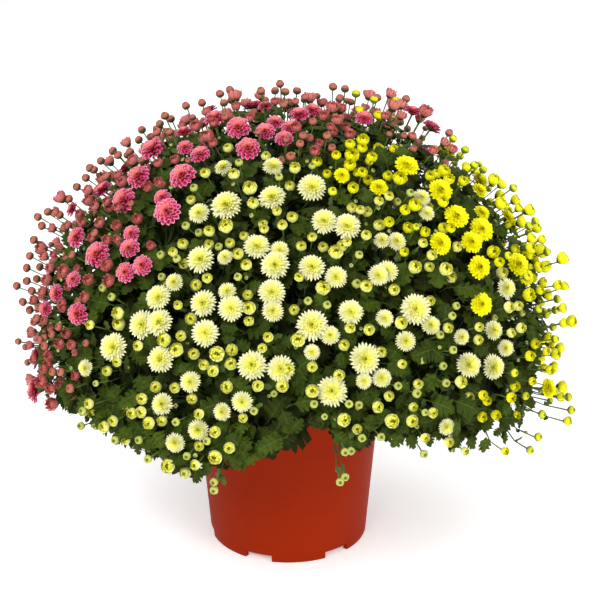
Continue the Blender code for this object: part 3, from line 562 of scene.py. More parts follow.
# Each spray's own stem: its direction shows at the foot of its solid, in the socket
sprayWays = {}
sprayFoot = 0.0005  # how much further out a point of its foot may lie
for name in sprayNames:
    points = sorted((v.co - domeCentre for v in nodes[name].data.vertices), key=lambda p: p.length)
    lowest = [p for p in points if p.length < points[0].length + sprayFoot]
    sprayWays[name] = sum(lowest, Vector()).normalized()

moreDraw = random.Random(more["seed"])
addSeen("half", moreHalfSeen, more["shells"])
addSeen("bud", {colour: [(*spot, more["budWidth"]) for spot in spots]
                for colour, spots in moreBudsSeen.items()}, more["budShells"])
for i in range(moreHidden["places"]):
    direction = spiralWay(i, moreHidden, moreDraw)
    isHalf = moreDraw.random() < moreHidden["halfShare"]
    radius = moreDraw.uniform(*moreHidden["halfRadii" if isHalf else "budRadii"])
    if direction.dot(towardsEye) > hidden["beyond"]:
        continue
    place, room = keptClear(direction, more["shells" if isHalf else "budShells"], radius)
    if room > moreHidden["room"]:
        addFlower("half" if isHalf else "bud", colourOf(direction), place, radius)
for i in range(filling["places"]):
    direction = spiralWay(i, filling, moreDraw)
    chance, kindChance, radius = moreDraw.random(), moreDraw.random(), moreDraw.uniform(*filling["radii"])
    if direction.dot(towardsEye) <= hidden["beyond"]:
        continue
    place, room = keptClear(direction, more["shells"], radius)
    colour = min(placed, key=lambda f: (f["place"] - place).length)["colour"]
    isHalf = kindChance < filling["halfShare"][colour]
    if room > filling["room"] and chance < filling["share"][colour]:
        addFlower("half" if isHalf else "bud", colour, place, radius if isHalf else radius * filling["budSize"])
print("flowers in all:", len(placed), "open", sum(f["kind"] == "open" for f in placed))

# One petal: a small sheet that is cupped across, curled along, and laid out from the heart
petal = {"alongSteps": 3, "acrossSteps": 2, "widest": 0.62, "narrow": 0.4, "rounded": 0.10, "uneven": 0.04}


def addPetal(bm, length, width, cup, curl, lift, start, height, turn, layer, draw, tip):
    uneven, chance = draw.uniform(-1, 1), draw.random()

    def shape(across, along):
        if along < petal["widest"]:
            wide = petal["narrow"] + (1 - petal["narrow"]) * math.sin(along / petal["widest"] * math.pi / 2)
        else:
            beyond = (along - petal["widest"]) / (1 - petal["widest"])
            wide = tip + (1 - tip) * math.cos(beyond * math.pi / 2)
        rounded = 1 - petal["rounded"] * abs(across) * (along > 0.95)
        rise = cup * width * across * across + curl * length * along * along
        rise += petal["uneven"] * uneven * along * length
        return Vector((across * wide * width / 2, along * length * rounded, rise))

    points = sheet(bm, petal["acrossSteps"], petal["alongSteps"], shape, layer=layer, chance=chance, youth=0.0)
    laid = (Matrix.Rotation(turn, 4, "Z") @ Matrix.Translation((0, start, height))
            @ Matrix.Rotation(lift, 4, "X"))
    bmesh.ops.transform(bm, matrix=laid, verts=points)


variantSeeds = {"open": 100, "half": 200, "leaf": 300}

# An open bloom, one unit in radius: layers of petals, from the outermost in
openBloom = {  # for each layer: petals, length, width, cup, curl, lift in degrees, start, height
    "white": (
        (25, 0.95, 0.23, 0.16, -0.02, 2, 0.07, -0.12), (23, 0.87, 0.23, 0.20, 0.02, 11, 0.07, -0.06),
        (20, 0.75, 0.22, 0.24, 0.06, 20, 0.06, 0.00), (16, 0.60, 0.20, 0.26, 0.10, 29, 0.06, 0.04),
        (11, 0.42, 0.16, 0.28, 0.16, 40, 0.06, 0.08), (7, 0.26, 0.13, 0.28, 0.22, 50, 0.06, 0.11)),
    "pink": (
        (14, 0.96, 0.37, 0.22, 0.06, -4, 0.06, -0.14), (13, 0.86, 0.35, 0.26, 0.10, 7, 0.06, -0.07),
        (12, 0.72, 0.31, 0.28, 0.13, 18, 0.06, 0.00), (10, 0.56, 0.26, 0.28, 0.16, 30, 0.07, 0.05),
        (8, 0.38, 0.20, 0.26, 0.18, 42, 0.11, 0.09), (6, 0.22, 0.15, 0.22, 0.20, 52, 0.12, 0.10)),
    "yellow": (
        (20, 0.95, 0.33, 0.12, -0.02, 0, 0.07, -0.12), (19, 0.87, 0.31, 0.15, 0.02, 10, 0.07, -0.05),
        (16, 0.74, 0.28, 0.18, 0.06, 20, 0.07, 0.00), (13, 0.56, 0.24, 0.22, 0.10, 31, 0.09, 0.05),
        (9, 0.34, 0.18, 0.26, 0.16, 44, 0.12, 0.09), (7, 0.20, 0.13, 0.26, 0.20, 54, 0.11, 0.11))}
petalTips = {"white": 0.5, "pink": 0.78, "yellow": 0.68}  # how broad a petal's end is
hearts = {  # radius and height of the eye in each variant
    "white": ((0.065, 0.20), (0.060, 0.18), (0.05, 0.12), (0.05, 0.12)),
    "pink": ((0.105, 0.15), (0.095, 0.14), (0.105, 0.16), (0.085, 0.13)),
    "yellow": ((0.115, 0.16), (0.105, 0.15), (0.12, 0.17), (0.09, 0.13))}


def openMesh(colour, variant):
    draw = random.Random(variantSeeds["open"] + variant)
    bm = newSkin()
    layers = openBloom[colour]
    for index, (count, length, width, cup, curl, lift, start, height) in enumerate(layers):
        first = draw.uniform(0, 1)
        for k in range(count):
            turn = 2 * math.pi * (k + first + draw.uniform(-0.18, 0.18)) / count
            addPetal(bm, length * draw.uniform(0.92, 1.03), width * draw.uniform(0.92, 1.08), cup, curl,
                     math.radians(lift + draw.uniform(-5, 5)), start, height + draw.uniform(-0.01, 0.01),
                     turn, index / (len(layers) - 1), draw, petalTips[colour])
    ball(bm, *hearts[colour][variant], layer=1.6)
    return asMesh(bm, colour + "Open")


# A half-open bloom, one unit in radius: petals that close round it like a cup
halfBloom = {  # for each layer: petals, radius, lowest and highest turn from the pole in degrees, width
    "ball": ((11, 1.00, 150, 56, 1.12), (10, 0.90, 140, 45, 1.05),
             (8, 0.75, 120, 36, 1.0), (6, 0.56, 95, 27, 0.95)),
    "cup": ((11, 1.00, 160, 62, 1.00), (10, 0.90, 140, 48, 1.00),
            (8, 0.74, 120, 34, 0.95), (6, 0.55, 95, 16, 0.9))}
halfForm = {"flare": {"ball": 0.10, "cup": 0.30}, "flat": 0.88, "hollow": 0.03, "heart": (0.30, 0.10)}


def halfMesh(form, variant):
    draw = random.Random(variantSeeds["half"] + variant)
    bm = newSkin()
    for index, (count, radius, low, high, width) in enumerate(halfBloom[form]):
        first = draw.uniform(0, 1)
        low = math.radians(low)
        for k in range(count):
            turn = 2 * math.pi * (k + first + draw.uniform(-0.1, 0.1)) / count
            top = math.radians(high + draw.uniform(-13, 9))
            out = radius * draw.uniform(0.92, 1.04)

            def shape(across, along):
                pole = low + (top - low) * along
                wide = width * math.pi / count * (0.75 + 0.35 * math.sin(along * math.pi))
                wide *= 1 - 0.35 * (along > 0.9)
                angle = turn + across * wide
                opened = halfForm["flare"][form] * (1 - index / 4) * (along ** 3 - 0.4)
                flare = out * (1 + opened - halfForm["hollow"] * abs(across))
                return Vector((math.sin(pole) * math.cos(angle), math.sin(pole) * math.sin(angle),
                               math.cos(pole) * halfForm["flat"])) * flare

            sheet(bm, 2, 3, shape, layer=index / 3, chance=draw.random(), youth=1.0)
    ball(bm, *halfForm["heart"], layer=1.4, youth=1.0)
    return asMesh(bm, form + "HalfOpen")


def budMesh():
    # a closed bud: petals wound to a dimple, in a green cup
    bm = newSkin()
    points = bmesh.ops.create_uvsphere(bm, u_segments=8, v_segments=6, radius=1)["verts"]
    for point in points:
        along = (point.co.z + 1) / 2
        ridge = 1 + 0.07 * math.cos(4 * math.atan2(point.co.y, point.co.x)) * along
        tall = 0.70 if along > 0.99 else 1.0 if along > 0.5 else 0.85
        point.co = Vector((point.co.x * ridge, point.co.y * ridge, point.co.z * tall))
        mark(bm, [point], layer=0.5, along=along, youth=2.0)
    return asMesh(bm, "bud")


def calyxMesh(depth, rim, neck):
    # the green cup under a bloom, its scales in two rings
    bm = newSkin()
    cup = bmesh.ops.create_cone(bm, cap_ends=True, segments=10, radius1=neck, radius2=rim, depth=depth)["verts"]
    bmesh.ops.translate(bm, verts=cup, vec=(0, 0, -depth / 2))
    mark(bm, cup, layer=0.2, along=0.2)
    for index, (count, length) in enumerate(((10, 0.62), (9, 0.50))):
        for k in range(count):
            points = sheet(bm, 1, 2, lambda across, along: Vector((
                across * 0.13 * (1 - along * along * 0.8), along * length, 0.10 * along ** 2)), layer=0.6)
            rise = math.atan2(depth, rim - neck) * (0.55 + 0.1 * index)
            laid = (Matrix.Rotation(2 * math.pi * (k + 0.5 * index) / count, 4, "Z")
                    @ Matrix.Translation((0, neck * 1.05, -depth * 0.96)) @ Matrix.Rotation(rise, 4, "X"))
            bmesh.ops.transform(bm, matrix=laid, verts=points)
    return asMesh(bm, "calyx")


openMeshes = {colour: [openMesh(colour, variant) for variant in range(4)] for colour in openBloom}
halfMeshes = {form: [halfMesh(form, variant) for variant in range(3)] for form in halfBloom}
buds = budMesh()
calyxes = {"open": calyxMesh(0.30, 0.34, 0.12), "half": calyxMesh(0.52, 0.62, 0.20)}

# Petal finishes: what varies is read from the marks on their points. Youth is 0 on an open bloom, 1 on one
# that is half open, 2 on a bud and 3 on a small green bud beside it
petalColours = {  # linear, from the outermost layer to the heart
    "white": {"outer": (0.80, 0.79, 0.44), "inner": (0.98, 0.95, 0.10), "edge": (0.84, 0.83, 0.54),
              "base": (0.76, 0.75, 0.10), "eye": (0.13, 0.15, 0.01), "youngRim": (0.94, 0.93, 0.33),
              "young": (0.96, 0.95, 0.110), "youngHeart": (0.92, 0.89, 0.045), "bud": (0.42, 0.44, 0.085),
              "budTip": (0.06, 0.09, 0.006), "budCup": (0.110, 0.180, 0.030)},
    "pink": {"outer": (0.62, 0.024, 0.150), "inner": (0.92, 0.225, 0.180), "edge": (0.92, 0.46, 0.56),
             "base": (0.56, 0.034, 0.060), "eye": (0.030, 0.004, 0.002), "youngRim": (0.68, 0.210, 0.190),
             "young": (0.66, 0.170, 0.150), "youngHeart": (0.56, 0.105, 0.065), "bud": (0.42, 0.115, 0.080),
             "budTip": (0.16, 0.06, 0.025), "budCup": (0.085, 0.070, 0.028)},
    "yellow": {"outer": (0.90, 0.86, 0.001), "inner": (0.96, 0.92, 0.001), "edge": (0.96, 0.92, 0.006),
               "base": (0.76, 0.64, 0.001), "eye": (0.08, 0.09, 0.003), "youngRim": (0.95, 0.92, 0.012),
               "young": (0.94, 0.90, 0.003), "youngHeart": (0.88, 0.84, 0.002), "bud": (0.60, 0.62, 0.010),
               "budTip": (0.16, 0.18, 0.004), "budCup": (0.140, 0.190, 0.014)}}
sideBudShades = {"bud": (0.42, 0.46, 0.13), "tip": (0.07, 0.10, 0.008), "cup": (0.120, 0.190, 0.036)}
# how strongly painted shade darkens the folds of a half-open bloom
foldShadeStrengths = {"white": 0.50, "pink": 0.45, "yellow": 0.25}


def budShade(finish, along, cup, petals, tip):
    closed = finish.mix(finish.between(along, 0.46, 0.62), cup, petals)
    return finish.mix(finish.between(along, 0.90, 0.985), closed, tip)


def petalFinish(colour):
    shades = petalColours[colour]
    finish = Finish(colour + "Petals", Roughness=0.6, Specular_IOR_Level=0.25)
    layer, along, across = (finish.attribute(name) for name in ("layer", "along", "across"))
    chance, youth = finish.attribute("chance"), finish.attribute("youth")
    body = finish.mix(finish.between(layer, 0.15, 0.85), shades["outer"], shades["inner"])
    # petals darken towards their base: partly their own colour, partly painted shade where the petals crowd
    # together
    body = finish.mix(finish.between(along, 0.75, 0.25), body, shades["base"])
    rim = finish.between(abs(across), 0.58, 0.95) * finish.between(along, 0.3, 0.8)
    tip = finish.between(along, 0.88, 1.0)
    body = finish.mix(finish.maths("MAXIMUM", rim, tip) * (0.88 - layer * 0.35), body, shades["edge"])
    body = finish.mix(finish.between(layer, 1.3, 1.5), body, shades["eye"])
    young = finish.mix(finish.between(layer, 0.0, 0.6), shades["youngRim"], shades["young"])
    young = finish.mix(finish.between(layer, 0.6, 1.2), young, shades["youngHeart"])
    young = finish.mix(finish.between(along, 0.35, 0.0), young, shades["youngHeart"])
    # painted shade: the folded edges near each petal's base are darkened towards the heart colour
    foldShade = finish.between(abs(across), 0.70, 1.0) * finish.between(along, 1.0, 0.7)
    young = finish.mix(foldShade * foldShadeStrengths[colour], young, shades["youngHeart"])
    young = finish.mix(finish.between(layer, 1.2, 1.35), young, shades["eye"])
    body = finish.mix(finish.between(youth, 0.4, 0.6), body, young)
    closed = budShade(finish, along, shades["budCup"], shades["bud"], shades["budTip"])
    body = finish.mix(finish.between(youth, 1.4, 1.6), body, closed)
    closed = budShade(finish, along, sideBudShades["cup"], sideBudShades["bud"], sideBudShades["tip"])
    body = finish.mix(finish.between(youth, 2.4, 2.6), body, closed)
    uneven = finish.speckle(900, 2)
    value = 0.90 + chance * 0.16 + (uneven - 0.5) * 0.16
    grey = finish.add("ShaderNodeCombineColor", inputs={0: value, 1: value, 2: value})
    finish.feed("Base Color", finish.mix(1.0, body, grey, "MULTIPLY"))
    finish.feed("Roughness", 0.48 + uneven * 0.16)
    veins = finish.maths("SINE", across * 14.0)
    finish.bump(veins * 0.5 + uneven, 0.0002, 0.6)
    return finish


petalFinishes = {colour: petalFinish(colour) for colour in petalColours}

stalkFinish = Finish("stalksAndCalyxes", Roughness=0.65, Specular_IOR_Level=0.2)
# painted shade: stalks, bracts and calyxes go from a dark green to a light one by their along mark, which on
# stalks and bracts holds how deep in the dome they lie
stalkPaintedLight = stalkFinish.between(stalkFinish.attribute("along"), 0.0, 1.0)
stalkNoise = stalkFinish.speckle(350, 3)
stalkColour = stalkFinish.mix(stalkPaintedLight, (0.010, 0.020, 0.003), (0.090, 0.135, 0.020))
stalkPatches = stalkFinish.between(stalkNoise, 0.35, 0.75)
stalkColour = stalkFinish.mix(stalkPatches * 0.5, stalkColour, (0.040, 0.080, 0.016))
stalkFinish.feed("Base Color", stalkColour)
stalkFinish.feed("Roughness", 0.55 + stalkNoise * 0.2)
stalkFinish.bump(stalkNoise, 0.0003, 0.5)

# The flower sprays: petals in one piece, and the stalks and calyxes that carry them in another
sprayStem = {"socket": 0.2615, "middle": 0.283, "top": 0.304, "lowest": 0.287, "widest": 0.30, "radius": 0.0040,
             "stalk": 0.00075, "neck": 0.0011, "steps": 5, "lane": 0.296, "dark": 0.296, "light": 0.352,
             "seed": 31}
bloomScale = {"open": 1.09, "half": 1.04, "bud": 1.12}
neckDepths = {"open": 0.42, "half": 0.98, "bud": 0.84}
calyxDepths = {"open": 0.12, "half": 0.46}
viewLean = {"pink": 0.55, "white": 0.22, "yellow": 0.30}
flowerTree = nearestPoints([flower["place"] for flower in placed])


def insideFlower(place, gap):
    found, i, distance = flowerTree.find(place)
    return distance < placed[i]["radius"] + gap


def paintedLightOf(place):
    # painted shade: how lit a green is painted, dark in the depth of the dome where shade falls
    lit = ((place - domeCentre).length - sprayStem["dark"]) / (sprayStem["light"] - sprayStem["dark"])
    return min(max(lit, 0), 1)


# A bract, the small lobed leaf on a flower's stalk, one unit long
bract = {"halfWidths": (0.08, 0.32, 0.18, 0.27, 0.03), "share": 0.85, "lengths": (0.009, 0.017),
         "spots": (3, 4), "facing": 0.8}


def bractShape(across, along):
    wide = bract["halfWidths"][round(along * 4)]
    return Vector((across * wide, along, 0.25 * wide * abs(across) - 0.15 * along * along))


bractSkin = newSkin()
sheet(bractSkin, 2, 4, bractShape, layer=0.6)
bracts = asMesh(bractSkin, "bract")


def addBracts(green, route, draw):
    for spot in bract["spots"]:
        way = (route[spot + 1] - route[spot]).normalized()
        side = way.cross(unevenness(draw)).normalized()
        length = draw.uniform(*bract["lengths"])
        faces = towardsEye * bract["facing"] + unevenness(draw)
        if draw.random() < bract["share"]:
            out = (way * 0.7 + side).normalized()
            across = out.cross(faces).normalized()
            axes = Matrix((across, out, across.cross(out)))
            laid = Matrix.Translation(route[spot]) @ axes.transposed().to_4x4() @ Matrix.Scale(length, 4)
            stamp(green, bracts, laid, along=paintedLightOf(route[spot]))


# A small green bud beside a flower, on a stalk of its own
sideBud = {"share": 0.30, "radii": (0.0022, 0.0031), "reach": (0.009, 0.015), "spot": 4, "gap": 0.003,
           "bow": 0.001}


def addSideBud(petals, green, route, draw):
    base = route[sideBud["spot"]]
    way = (route[sideBud["spot"] + 1] - base).normalized()
    side = way.cross(unevenness(draw)).normalized()
    top = base + (way + side * 0.8).normalized() * draw.uniform(*sideBud["reach"])
    radius = draw.uniform(*sideBud["radii"])
    if draw.random() > sideBud["share"] or (top - domeCentre).length > more["furthest"]:
        return
    if insideFlower(top, radius + sideBud["gap"]):
        return
    outwards = ((top - domeCentre).normalized() + side * 0.4 + towardsEye * 0.3).normalized()
    stamp(petals, buds, standing(top, outwards, 0, radius), chance=draw.random(), youth=3.0)
    middle = base.lerp(top, 0.5) + side * sideBud["bow"]
    stalk = tubeAlong(green, [base, middle, top], [sprayStem["stalk"] * 0.8] * 3, 4)
    mark(green, stalk, along=paintedLightOf(top))


def addStalk(green, flower, way, neck, normal, radius, chance):
    # it leaves the spray's stem, runs low through the dome and then rises to its flower
    neckWay = (neck - domeCentre).normalized()
    share = min(neckWay.angle(way) / sprayStem["widest"], 1)
    foot = domeCentre + way * (sprayStem["top"] + share * (sprayStem["lowest"] - sprayStem["top"]))
    lane = domeCentre + neckWay * sprayStem["lane"]
    rising = (lane - neck) * 0.75 - normal * (radius * 0.8)
    route = bend(foot, (lane - foot) * 0.6, neck, rising, sprayStem["steps"])
    isOpen = flower["kind"] == "open"
    thick = sprayStem["neck" if isOpen else "stalk"]
    radii = [thick * 1.25] + [thick] * (sprayStem["steps"] - 1) + [thick * 1.3]
    for point in tubeAlong(green, route, radii, 5 if isOpen else 4):
        mark(green, [point], along=paintedLightOf(point.co), chance=chance)
    return route


formDraw = random.Random(sprayStem["seed"])
for name in sprayNames:
    colour = name.split("_")[0]
    way = sprayWays[name]
    petals, green = newSkin(), newSkin()
    route = [domeCentre + way * sprayStem[shell] for shell in ("socket", "middle", "top")]
    stem = tubeAlong(green, route, [sprayStem["radius"] * share for share in (1, 0.9, 0.5)], 8)
    # painted shade: the spray's own stem, deep in the dome, is marked to be painted a dark green
    mark(green, stem, along=0.1)
    for flower in (f for f in placed if f["spray"] == name):
        kind, normal = flower["kind"], flower["normal"]
        seen = max(normal.dot(towardsEye), 0)
        normal = (normal + towardsEye * viewLean[colour] * seen).normalized()
        radius = flower["radius"] * bloomScale[kind]
        stands = standing(flower["place"], normal, flower["turn"], radius)
        chance = formDraw.random()
        if kind == "open":
            mesh = openMeshes[colour][formDraw.randrange(4)]
            tall = Matrix.Scale(formDraw.uniform(0.85, 1.15), 4, (0, 0, 1))
            stamp(petals, mesh, stands @ tall)
        elif kind == "half":
            form = "cup" if colour == "pink" else "ball"
            stamp(petals, halfMeshes[form][formDraw.randrange(3)], stands)
        else:
            stamp(petals, buds, stands, chance=chance)
        neck = flower["place"] - normal * (radius * neckDepths[kind])
        if kind in calyxes:
            base = flower["place"] - normal * (radius * calyxDepths[kind])
            stamp(green, calyxes[kind], standing(base, normal, flower["turn"], radius))
        route = addStalk(green, flower, way, neck, normal, radius, chance)
        addBracts(green, route, formDraw)
        addSideBud(petals, green, route, formDraw)
    asPiece(petals, name + "_petals", petalFinishes[colour], colour + "_petals", name)
    asPiece(green, name + "_stalks", stalkFinish, "foliage", name)
print("sprays made:", len(sprayNames))

# Leaves: deeply lobed, veined, on a short stalk, one unit long
leafForm = {"rows": 12, "columns": 4, "deepColumns": 2, "variants": 5, "tips": (3, 6, 9, 12), "sweep": 0.16,
            "lobes": (0.10, 0.26, 0.78, 0.88, 0.40, 0.84, 1.0, 0.46, 0.70, 0.78, 0.40, 0.42, 0.10),
            "width": 0.74, "arch": 0.16, "droop": 0.20, "wave": 0.03, "fold": 0.02, "stalk": 0.26,
            "stalkRadii": (0.016, 0.014, 0.010)}


def leafMesh(variant, columns):
    draw = random.Random(variantSeeds["leaf"] + variant)
    bm = newSkin()
    lobes = [wide * draw.uniform(0.85, 1.12) for wide in leafForm["lobes"]]
    wave = draw.uniform(0, 6)

    def shape(across, along):
        row = round(along * leafForm["rows"])
        wide = lobes[row] * leafForm["width"] / 2
        tooth = row in leafForm["tips"]
        sweep = leafForm["sweep"] * abs(across) * (1.0 if tooth else 0.35) * (1 - along * 0.6)
        height = -leafForm["arch"] * (abs(across) - 0.5) * wide * 2 - leafForm["droop"] * along * along
        height += leafForm["wave"] * math.sin(wave + along * 9) * across
        height += leafForm["fold"] * abs(across) * (1 if tooth else -1)
        return Vector((across * wide, leafForm["stalk"] + along * (1 - leafForm["stalk"]) + sweep, height))

    sheet(bm, columns, leafForm["rows"], shape, layer=0.0)
    route = [Vector((0, -0.12, -0.20)), Vector((0, 0.05, -0.04)), Vector((0, leafForm["stalk"] + 0.06, 0.01))]
    mark(bm, tubeAlong(bm, route, leafForm["stalkRadii"], 4), along=0.0, across=0.0, layer=1.0)
    return asMesh(bm, "leaf")


leafMeshes, deepLeafMeshes = ([leafMesh(variant, leafForm[columns]) for variant in range(leafForm["variants"])]
                              for columns in ("columns", "deepColumns"))

leafFinish = Finish("leaves", Roughness=0.6, Specular_IOR_Level=0.10)
leafAlong, leafAcross = leafFinish.attribute("along"), leafFinish.attribute("across")
leafChance, leafPaintedShade = leafFinish.attribute("chance"), leafFinish.attribute("youth")
leafNoise = leafFinish.speckle(220, 4)
leafColour = leafFinish.mix(leafChance, (0.017, 0.028, 0.0015), (0.054, 0.088, 0.004))
leafColour = leafFinish.mix(leafFinish.between(leafNoise, 0.35, 0.7), leafColour, (0.026, 0.044, 0.002))
midrib = leafFinish.between(abs(leafAcross), 0.10, 0.02)
sideVein = leafFinish.maths("SINE", (leafAlong - abs(leafAcross) * 0.16) * 37.7)
veins = leafFinish.maths("MAXIMUM", midrib, leafFinish.between(sideVein, 0.86, 1.0) * 0.6)
leafColour = leafFinish.mix(veins * 0.6, leafColour, (0.070, 0.115, 0.018))
# painted shade: a leaf deeper in the bush, by its youth mark, is darkened towards a near-black green
leafColour = leafFinish.mix(leafPaintedShade, leafColour, (0.014, 0.018, 0.0015))
leafFinish.feed("Base Color", leafColour)
leafFinish.feed("Roughness", 0.55 + leafNoise * 0.2)
leafFinish.bump(leafNoise - veins * 0.8, 0.0006, 0.7)

# The leaves of the bush, over its outside, in its depth and round its skirt
foliage = {"places": 2760, "lowestSine": -0.06, "wander": 0.1, "climb": 0.02, "shells": (0.270, 0.346),
           "lengths": (0.024, 0.044), "ragged": 0.024, "furthest": 0.360, "flowerGap": 0.005, "seed": 41}
innerFoliage = {"places": 420, "lowestSine": 0.0, "wander": 0.2, "climb": 0.05, "shells": (0.225, 0.268),
                "lengths": (0.045, 0.062)}
skirt = {"places": 420, "sines": (-0.05, 0.16), "shells": (0.255, 0.330)}
looseEdge = {"way": Vector((0.93, -0.20, -0.12)).normalized(), "from": 0.88, "depth": 0.040}
lowerEdge = {  # column and row of the leaves' lower edge in the photograph's frame, in pixels
    "seen": ((30, 395), (100, 430), (148, 458), (190, 484), (204, 470), (240, 464), (262, 463), (275, 456),
             (284, 447), (295, 434), (306, 426), (331, 426), (337, 452), (364, 452), (373, 441), (400, 438),
             (431, 436), (449, 438), (471, 440), (485, 436), (510, 428), (548, 416), (572, 402)),
    "pixelsPerMetre": 750, "front": -0.10, "height": 0.262, "reach": 0.35, "rise": 0.414, "mostLift": 0.045}
hangingShell = 0.338
hangingLeaves = (  # column, row and length in pixels of leaves that hang free in the photograph, and their turn
    (196, 470, 26, -10), (186, 466, 22, 30), (207, 466, 20, -30), (350, 436, 24, 15), (362, 438, 20, -25),
    (338, 437, 22, 50), (399, 437, 24, -35), (411, 438, 22, 25), (430, 438, 18, 10), (463, 443, 20, -30),
    (470, 441, 18, 35), (486, 442, 22, -12), (506, 435, 18, 5), (500, 431, 14, -60), (549, 425, 20, -8),
    (240, 448, 24, 20), (262, 447, 24, -15), (276, 441, 20, 10), (224, 452, 22, 40), (100, 424, 18, 20),
    (118, 436, 18, -20), (136, 446, 18, 10))
leafDraw = random.Random(foliage["seed"])
carried = [spray for colour in ("white", "pink", "yellow") for spray in sprayNames if spray.startswith(colour)]
leafyWays = {leafy: sprayWays[spray] for leafy, spray in zip(leafyNames, carried)}
leaves = {name: [] for name in leafyNames}


def seenAt(place):
    offset = place - eyePlace
    scale = photo["focal"] / offset.dot(eyeForward)
    return photo["size"] / 2 + offset.x * scale, photo["size"] / 2 - offset.dot(eyeUp) * scale


def tooLow(place):
    # how far a place lies below the leaves' lower edge, which rises outwards from the pot
    offset = place - domeCentre
    under = lowerEdge["height"] + (offset.to_2d().length - lowerEdge["reach"]) * lowerEdge["rise"] - place.z
    if offset.y > lowerEdge["front"]:
        return under
    column, row = seenAt(place)
    for (left, leftRow), (right, rightRow) in zip(lowerEdge["seen"], lowerEdge["seen"][1:]):
        if left <= column < right:
            lowest = leftRow + (rightRow - leftRow) * (column - left) / (right - left)
            return (row - lowest) / lowerEdge["pixelsPerMetre"]
    return under


def leafReach(out):
    # the bush is looser at its right-hand lower edge
    loose = max(out.dot(looseEdge["way"]) - looseEdge["from"], 0) / (1 - looseEdge["from"])
    return foliage["furthest"] - looseEdge["depth"] * loose


def addLeaf(base, way, out, length, ragged=0.0, hangs=False):
    # a leaf keeps within the bush, above its lower edge unless it hangs, and clear of the flowers
    while (base + way * length - domeCentre).length > leafReach(out):
        base = base - out * 0.004
    lift = 0 if hangs else max(tooLow(base + way * length * share) for share in (0, 0.6, 1)) + ragged
    if lift > lowerEdge["mostLift"]:
        return
    base = base + Vector((0, 0, max(lift, 0)))
    for i in range(7):
        spots = (base + way * length * share for share in (0.3, 0.55, 0.8, 1))
        if any(insideFlower(spot, foliage["flowerGap"]) for spot in spots):
            base = base - out * 0.005
    sideways = way.cross(out + Vector((0, 0, 0.5)) + unevenness(leafDraw) * 0.3).normalized()
    owner = min(leafyWays, key=lambda name: (leafyWays[name] - out).length)
    axes = Matrix((sideways, way, sideways.cross(way))).transposed().to_4x4()
    laid = Matrix.Translation(base) @ axes @ Matrix.Scale(length, 4)
    variant, chance = leafDraw.randrange(leafForm["variants"]), leafDraw.random()
    leaves[owner].append((laid, variant, chance, (base - domeCentre).length))


for i in range(foliage["places"]):
    out = spiralWay(i, foliage, leafDraw)
    around = aboutAxis(out, leafDraw.uniform(0, 2 * math.pi))
    way = around + out * leafDraw.uniform(-0.1, 0.9) + Vector((0, 0, leafDraw.uniform(-0.3, 0.2)))
    way.normalize()
    length = leafDraw.uniform(*foliage["lengths"])
    base = domeCentre + out * leafDraw.uniform(*foliage["shells"])
    addLeaf(base, way, out, length, leafDraw.uniform(0, foliage["ragged"]))
for i in range(innerFoliage["places"]):
    out = spiralWay(i, innerFoliage, leafDraw)
    around = aboutAxis(out, leafDraw.uniform(0, 2 * math.pi))
    way = (around + out * leafDraw.uniform(-0.2, 0.3)).normalized()
    base = domeCentre + out * leafDraw.uniform(*innerFoliage["shells"])
    addLeaf(base, way, out, leafDraw.uniform(*innerFoliage["lengths"]))
for i in range(skirt["places"]):
    angle = leafDraw.uniform(0, 2 * math.pi)
    out = Vector((math.cos(angle), math.sin(angle), leafDraw.uniform(*skirt["sines"]))).normalized()
    around = aboutAxis(out, leafDraw.uniform(0, 2 * math.pi))
    way = (around * 0.6 + out * 0.6 + Vector((0, 0, -0.5))).normalized()
    base = domeCentre + out * leafDraw.uniform(*skirt["shells"])
    addLeaf(base, way, out, leafDraw.uniform(*foliage["lengths"]), leafDraw.uniform(0, foliage["ragged"]))
for column, row, long, turn in hangingLeaves:
    middle = seenOnDome(column, row, hangingShell)
    out = (middle - domeCentre).normalized()
    angle = math.radians(turn)
    way = (Vector((math.sin(angle), 0, -math.cos(angle))) + out * 0.3).normalized()
    length = widthSeen(middle, long)
    addLeaf(middle - way * length * 0.5, way, out, length, hangs=True)

# Each leafy stem: its stem from the soil, a dense inner mass like its solid's, painted dark as shade, and its
# leaves
core = {"from": 0.200, "cutAbove": 0.004, "leastHeight": 0.17, "shrink": 0.80, "widen": 1.30, "grain": 60,
        "rough": 0.006, "edgeAbove": 0.2, "edgeGap": 0.016, "deepReach": 0.306, "litReach": 0.325,
        "litDepth": 0.045, "darkestShade": 0.85, "seed": 61}
leafyStem = {"spread": 0.094, "lean": 1.15, "rise": 0.276, "middleRise": 0.040, "low": 0.205, "top": 0.258,
             "steps": 7, "radius": 0.0030}
potAxis = Vector((-0.009, 0, 0))  # the pot stands a little left of the dome


def addCore(bm, name, way):
    bm.from_mesh(nodes[name].data)
    bmesh.ops.remove_doubles(bm, verts=bm.verts, dist=1e-5)
    low = [v for v in bm.verts if (v.co - domeCentre).length <= core["from"] + core["cutAbove"]
           or v.co.z < core["leastHeight"]]
    bmesh.ops.delete(bm, geom=low, context="VERTS")
    bmesh.ops.holes_fill(bm, edges=[e for e in bm.edges if e.is_boundary], sides=0)
    for vert in bm.verts:
        offset = vert.co - domeCentre
        reach = core["from"] + (offset.length - core["from"]) * core["shrink"]
        wider = way * offset.dot(way) + (offset - way * offset.dot(way)) * core["widen"]
        vert.co = domeCentre + wider.normalized() * reach
    bmesh.ops.triangulate(bm, faces=bm.faces)
    bmesh.ops.subdivide_edges(bm, edges=bm.edges, cuts=2, use_grid_fill=True)
    for vert in bm.verts:
        vert.co += noise.noise_vector(vert.co * core["grain"]) * core["rough"]
        if vert.co.z > core["edgeAbove"]:
            vert.co.z += max(tooLow(vert.co) + core["edgeGap"], 0)
    # painted shade: the inner mass is marked to be painted a deep, shaded green
    mark(bm, bm.verts, along=0.5, across=0.5, chance=0.3, youth=0.8)


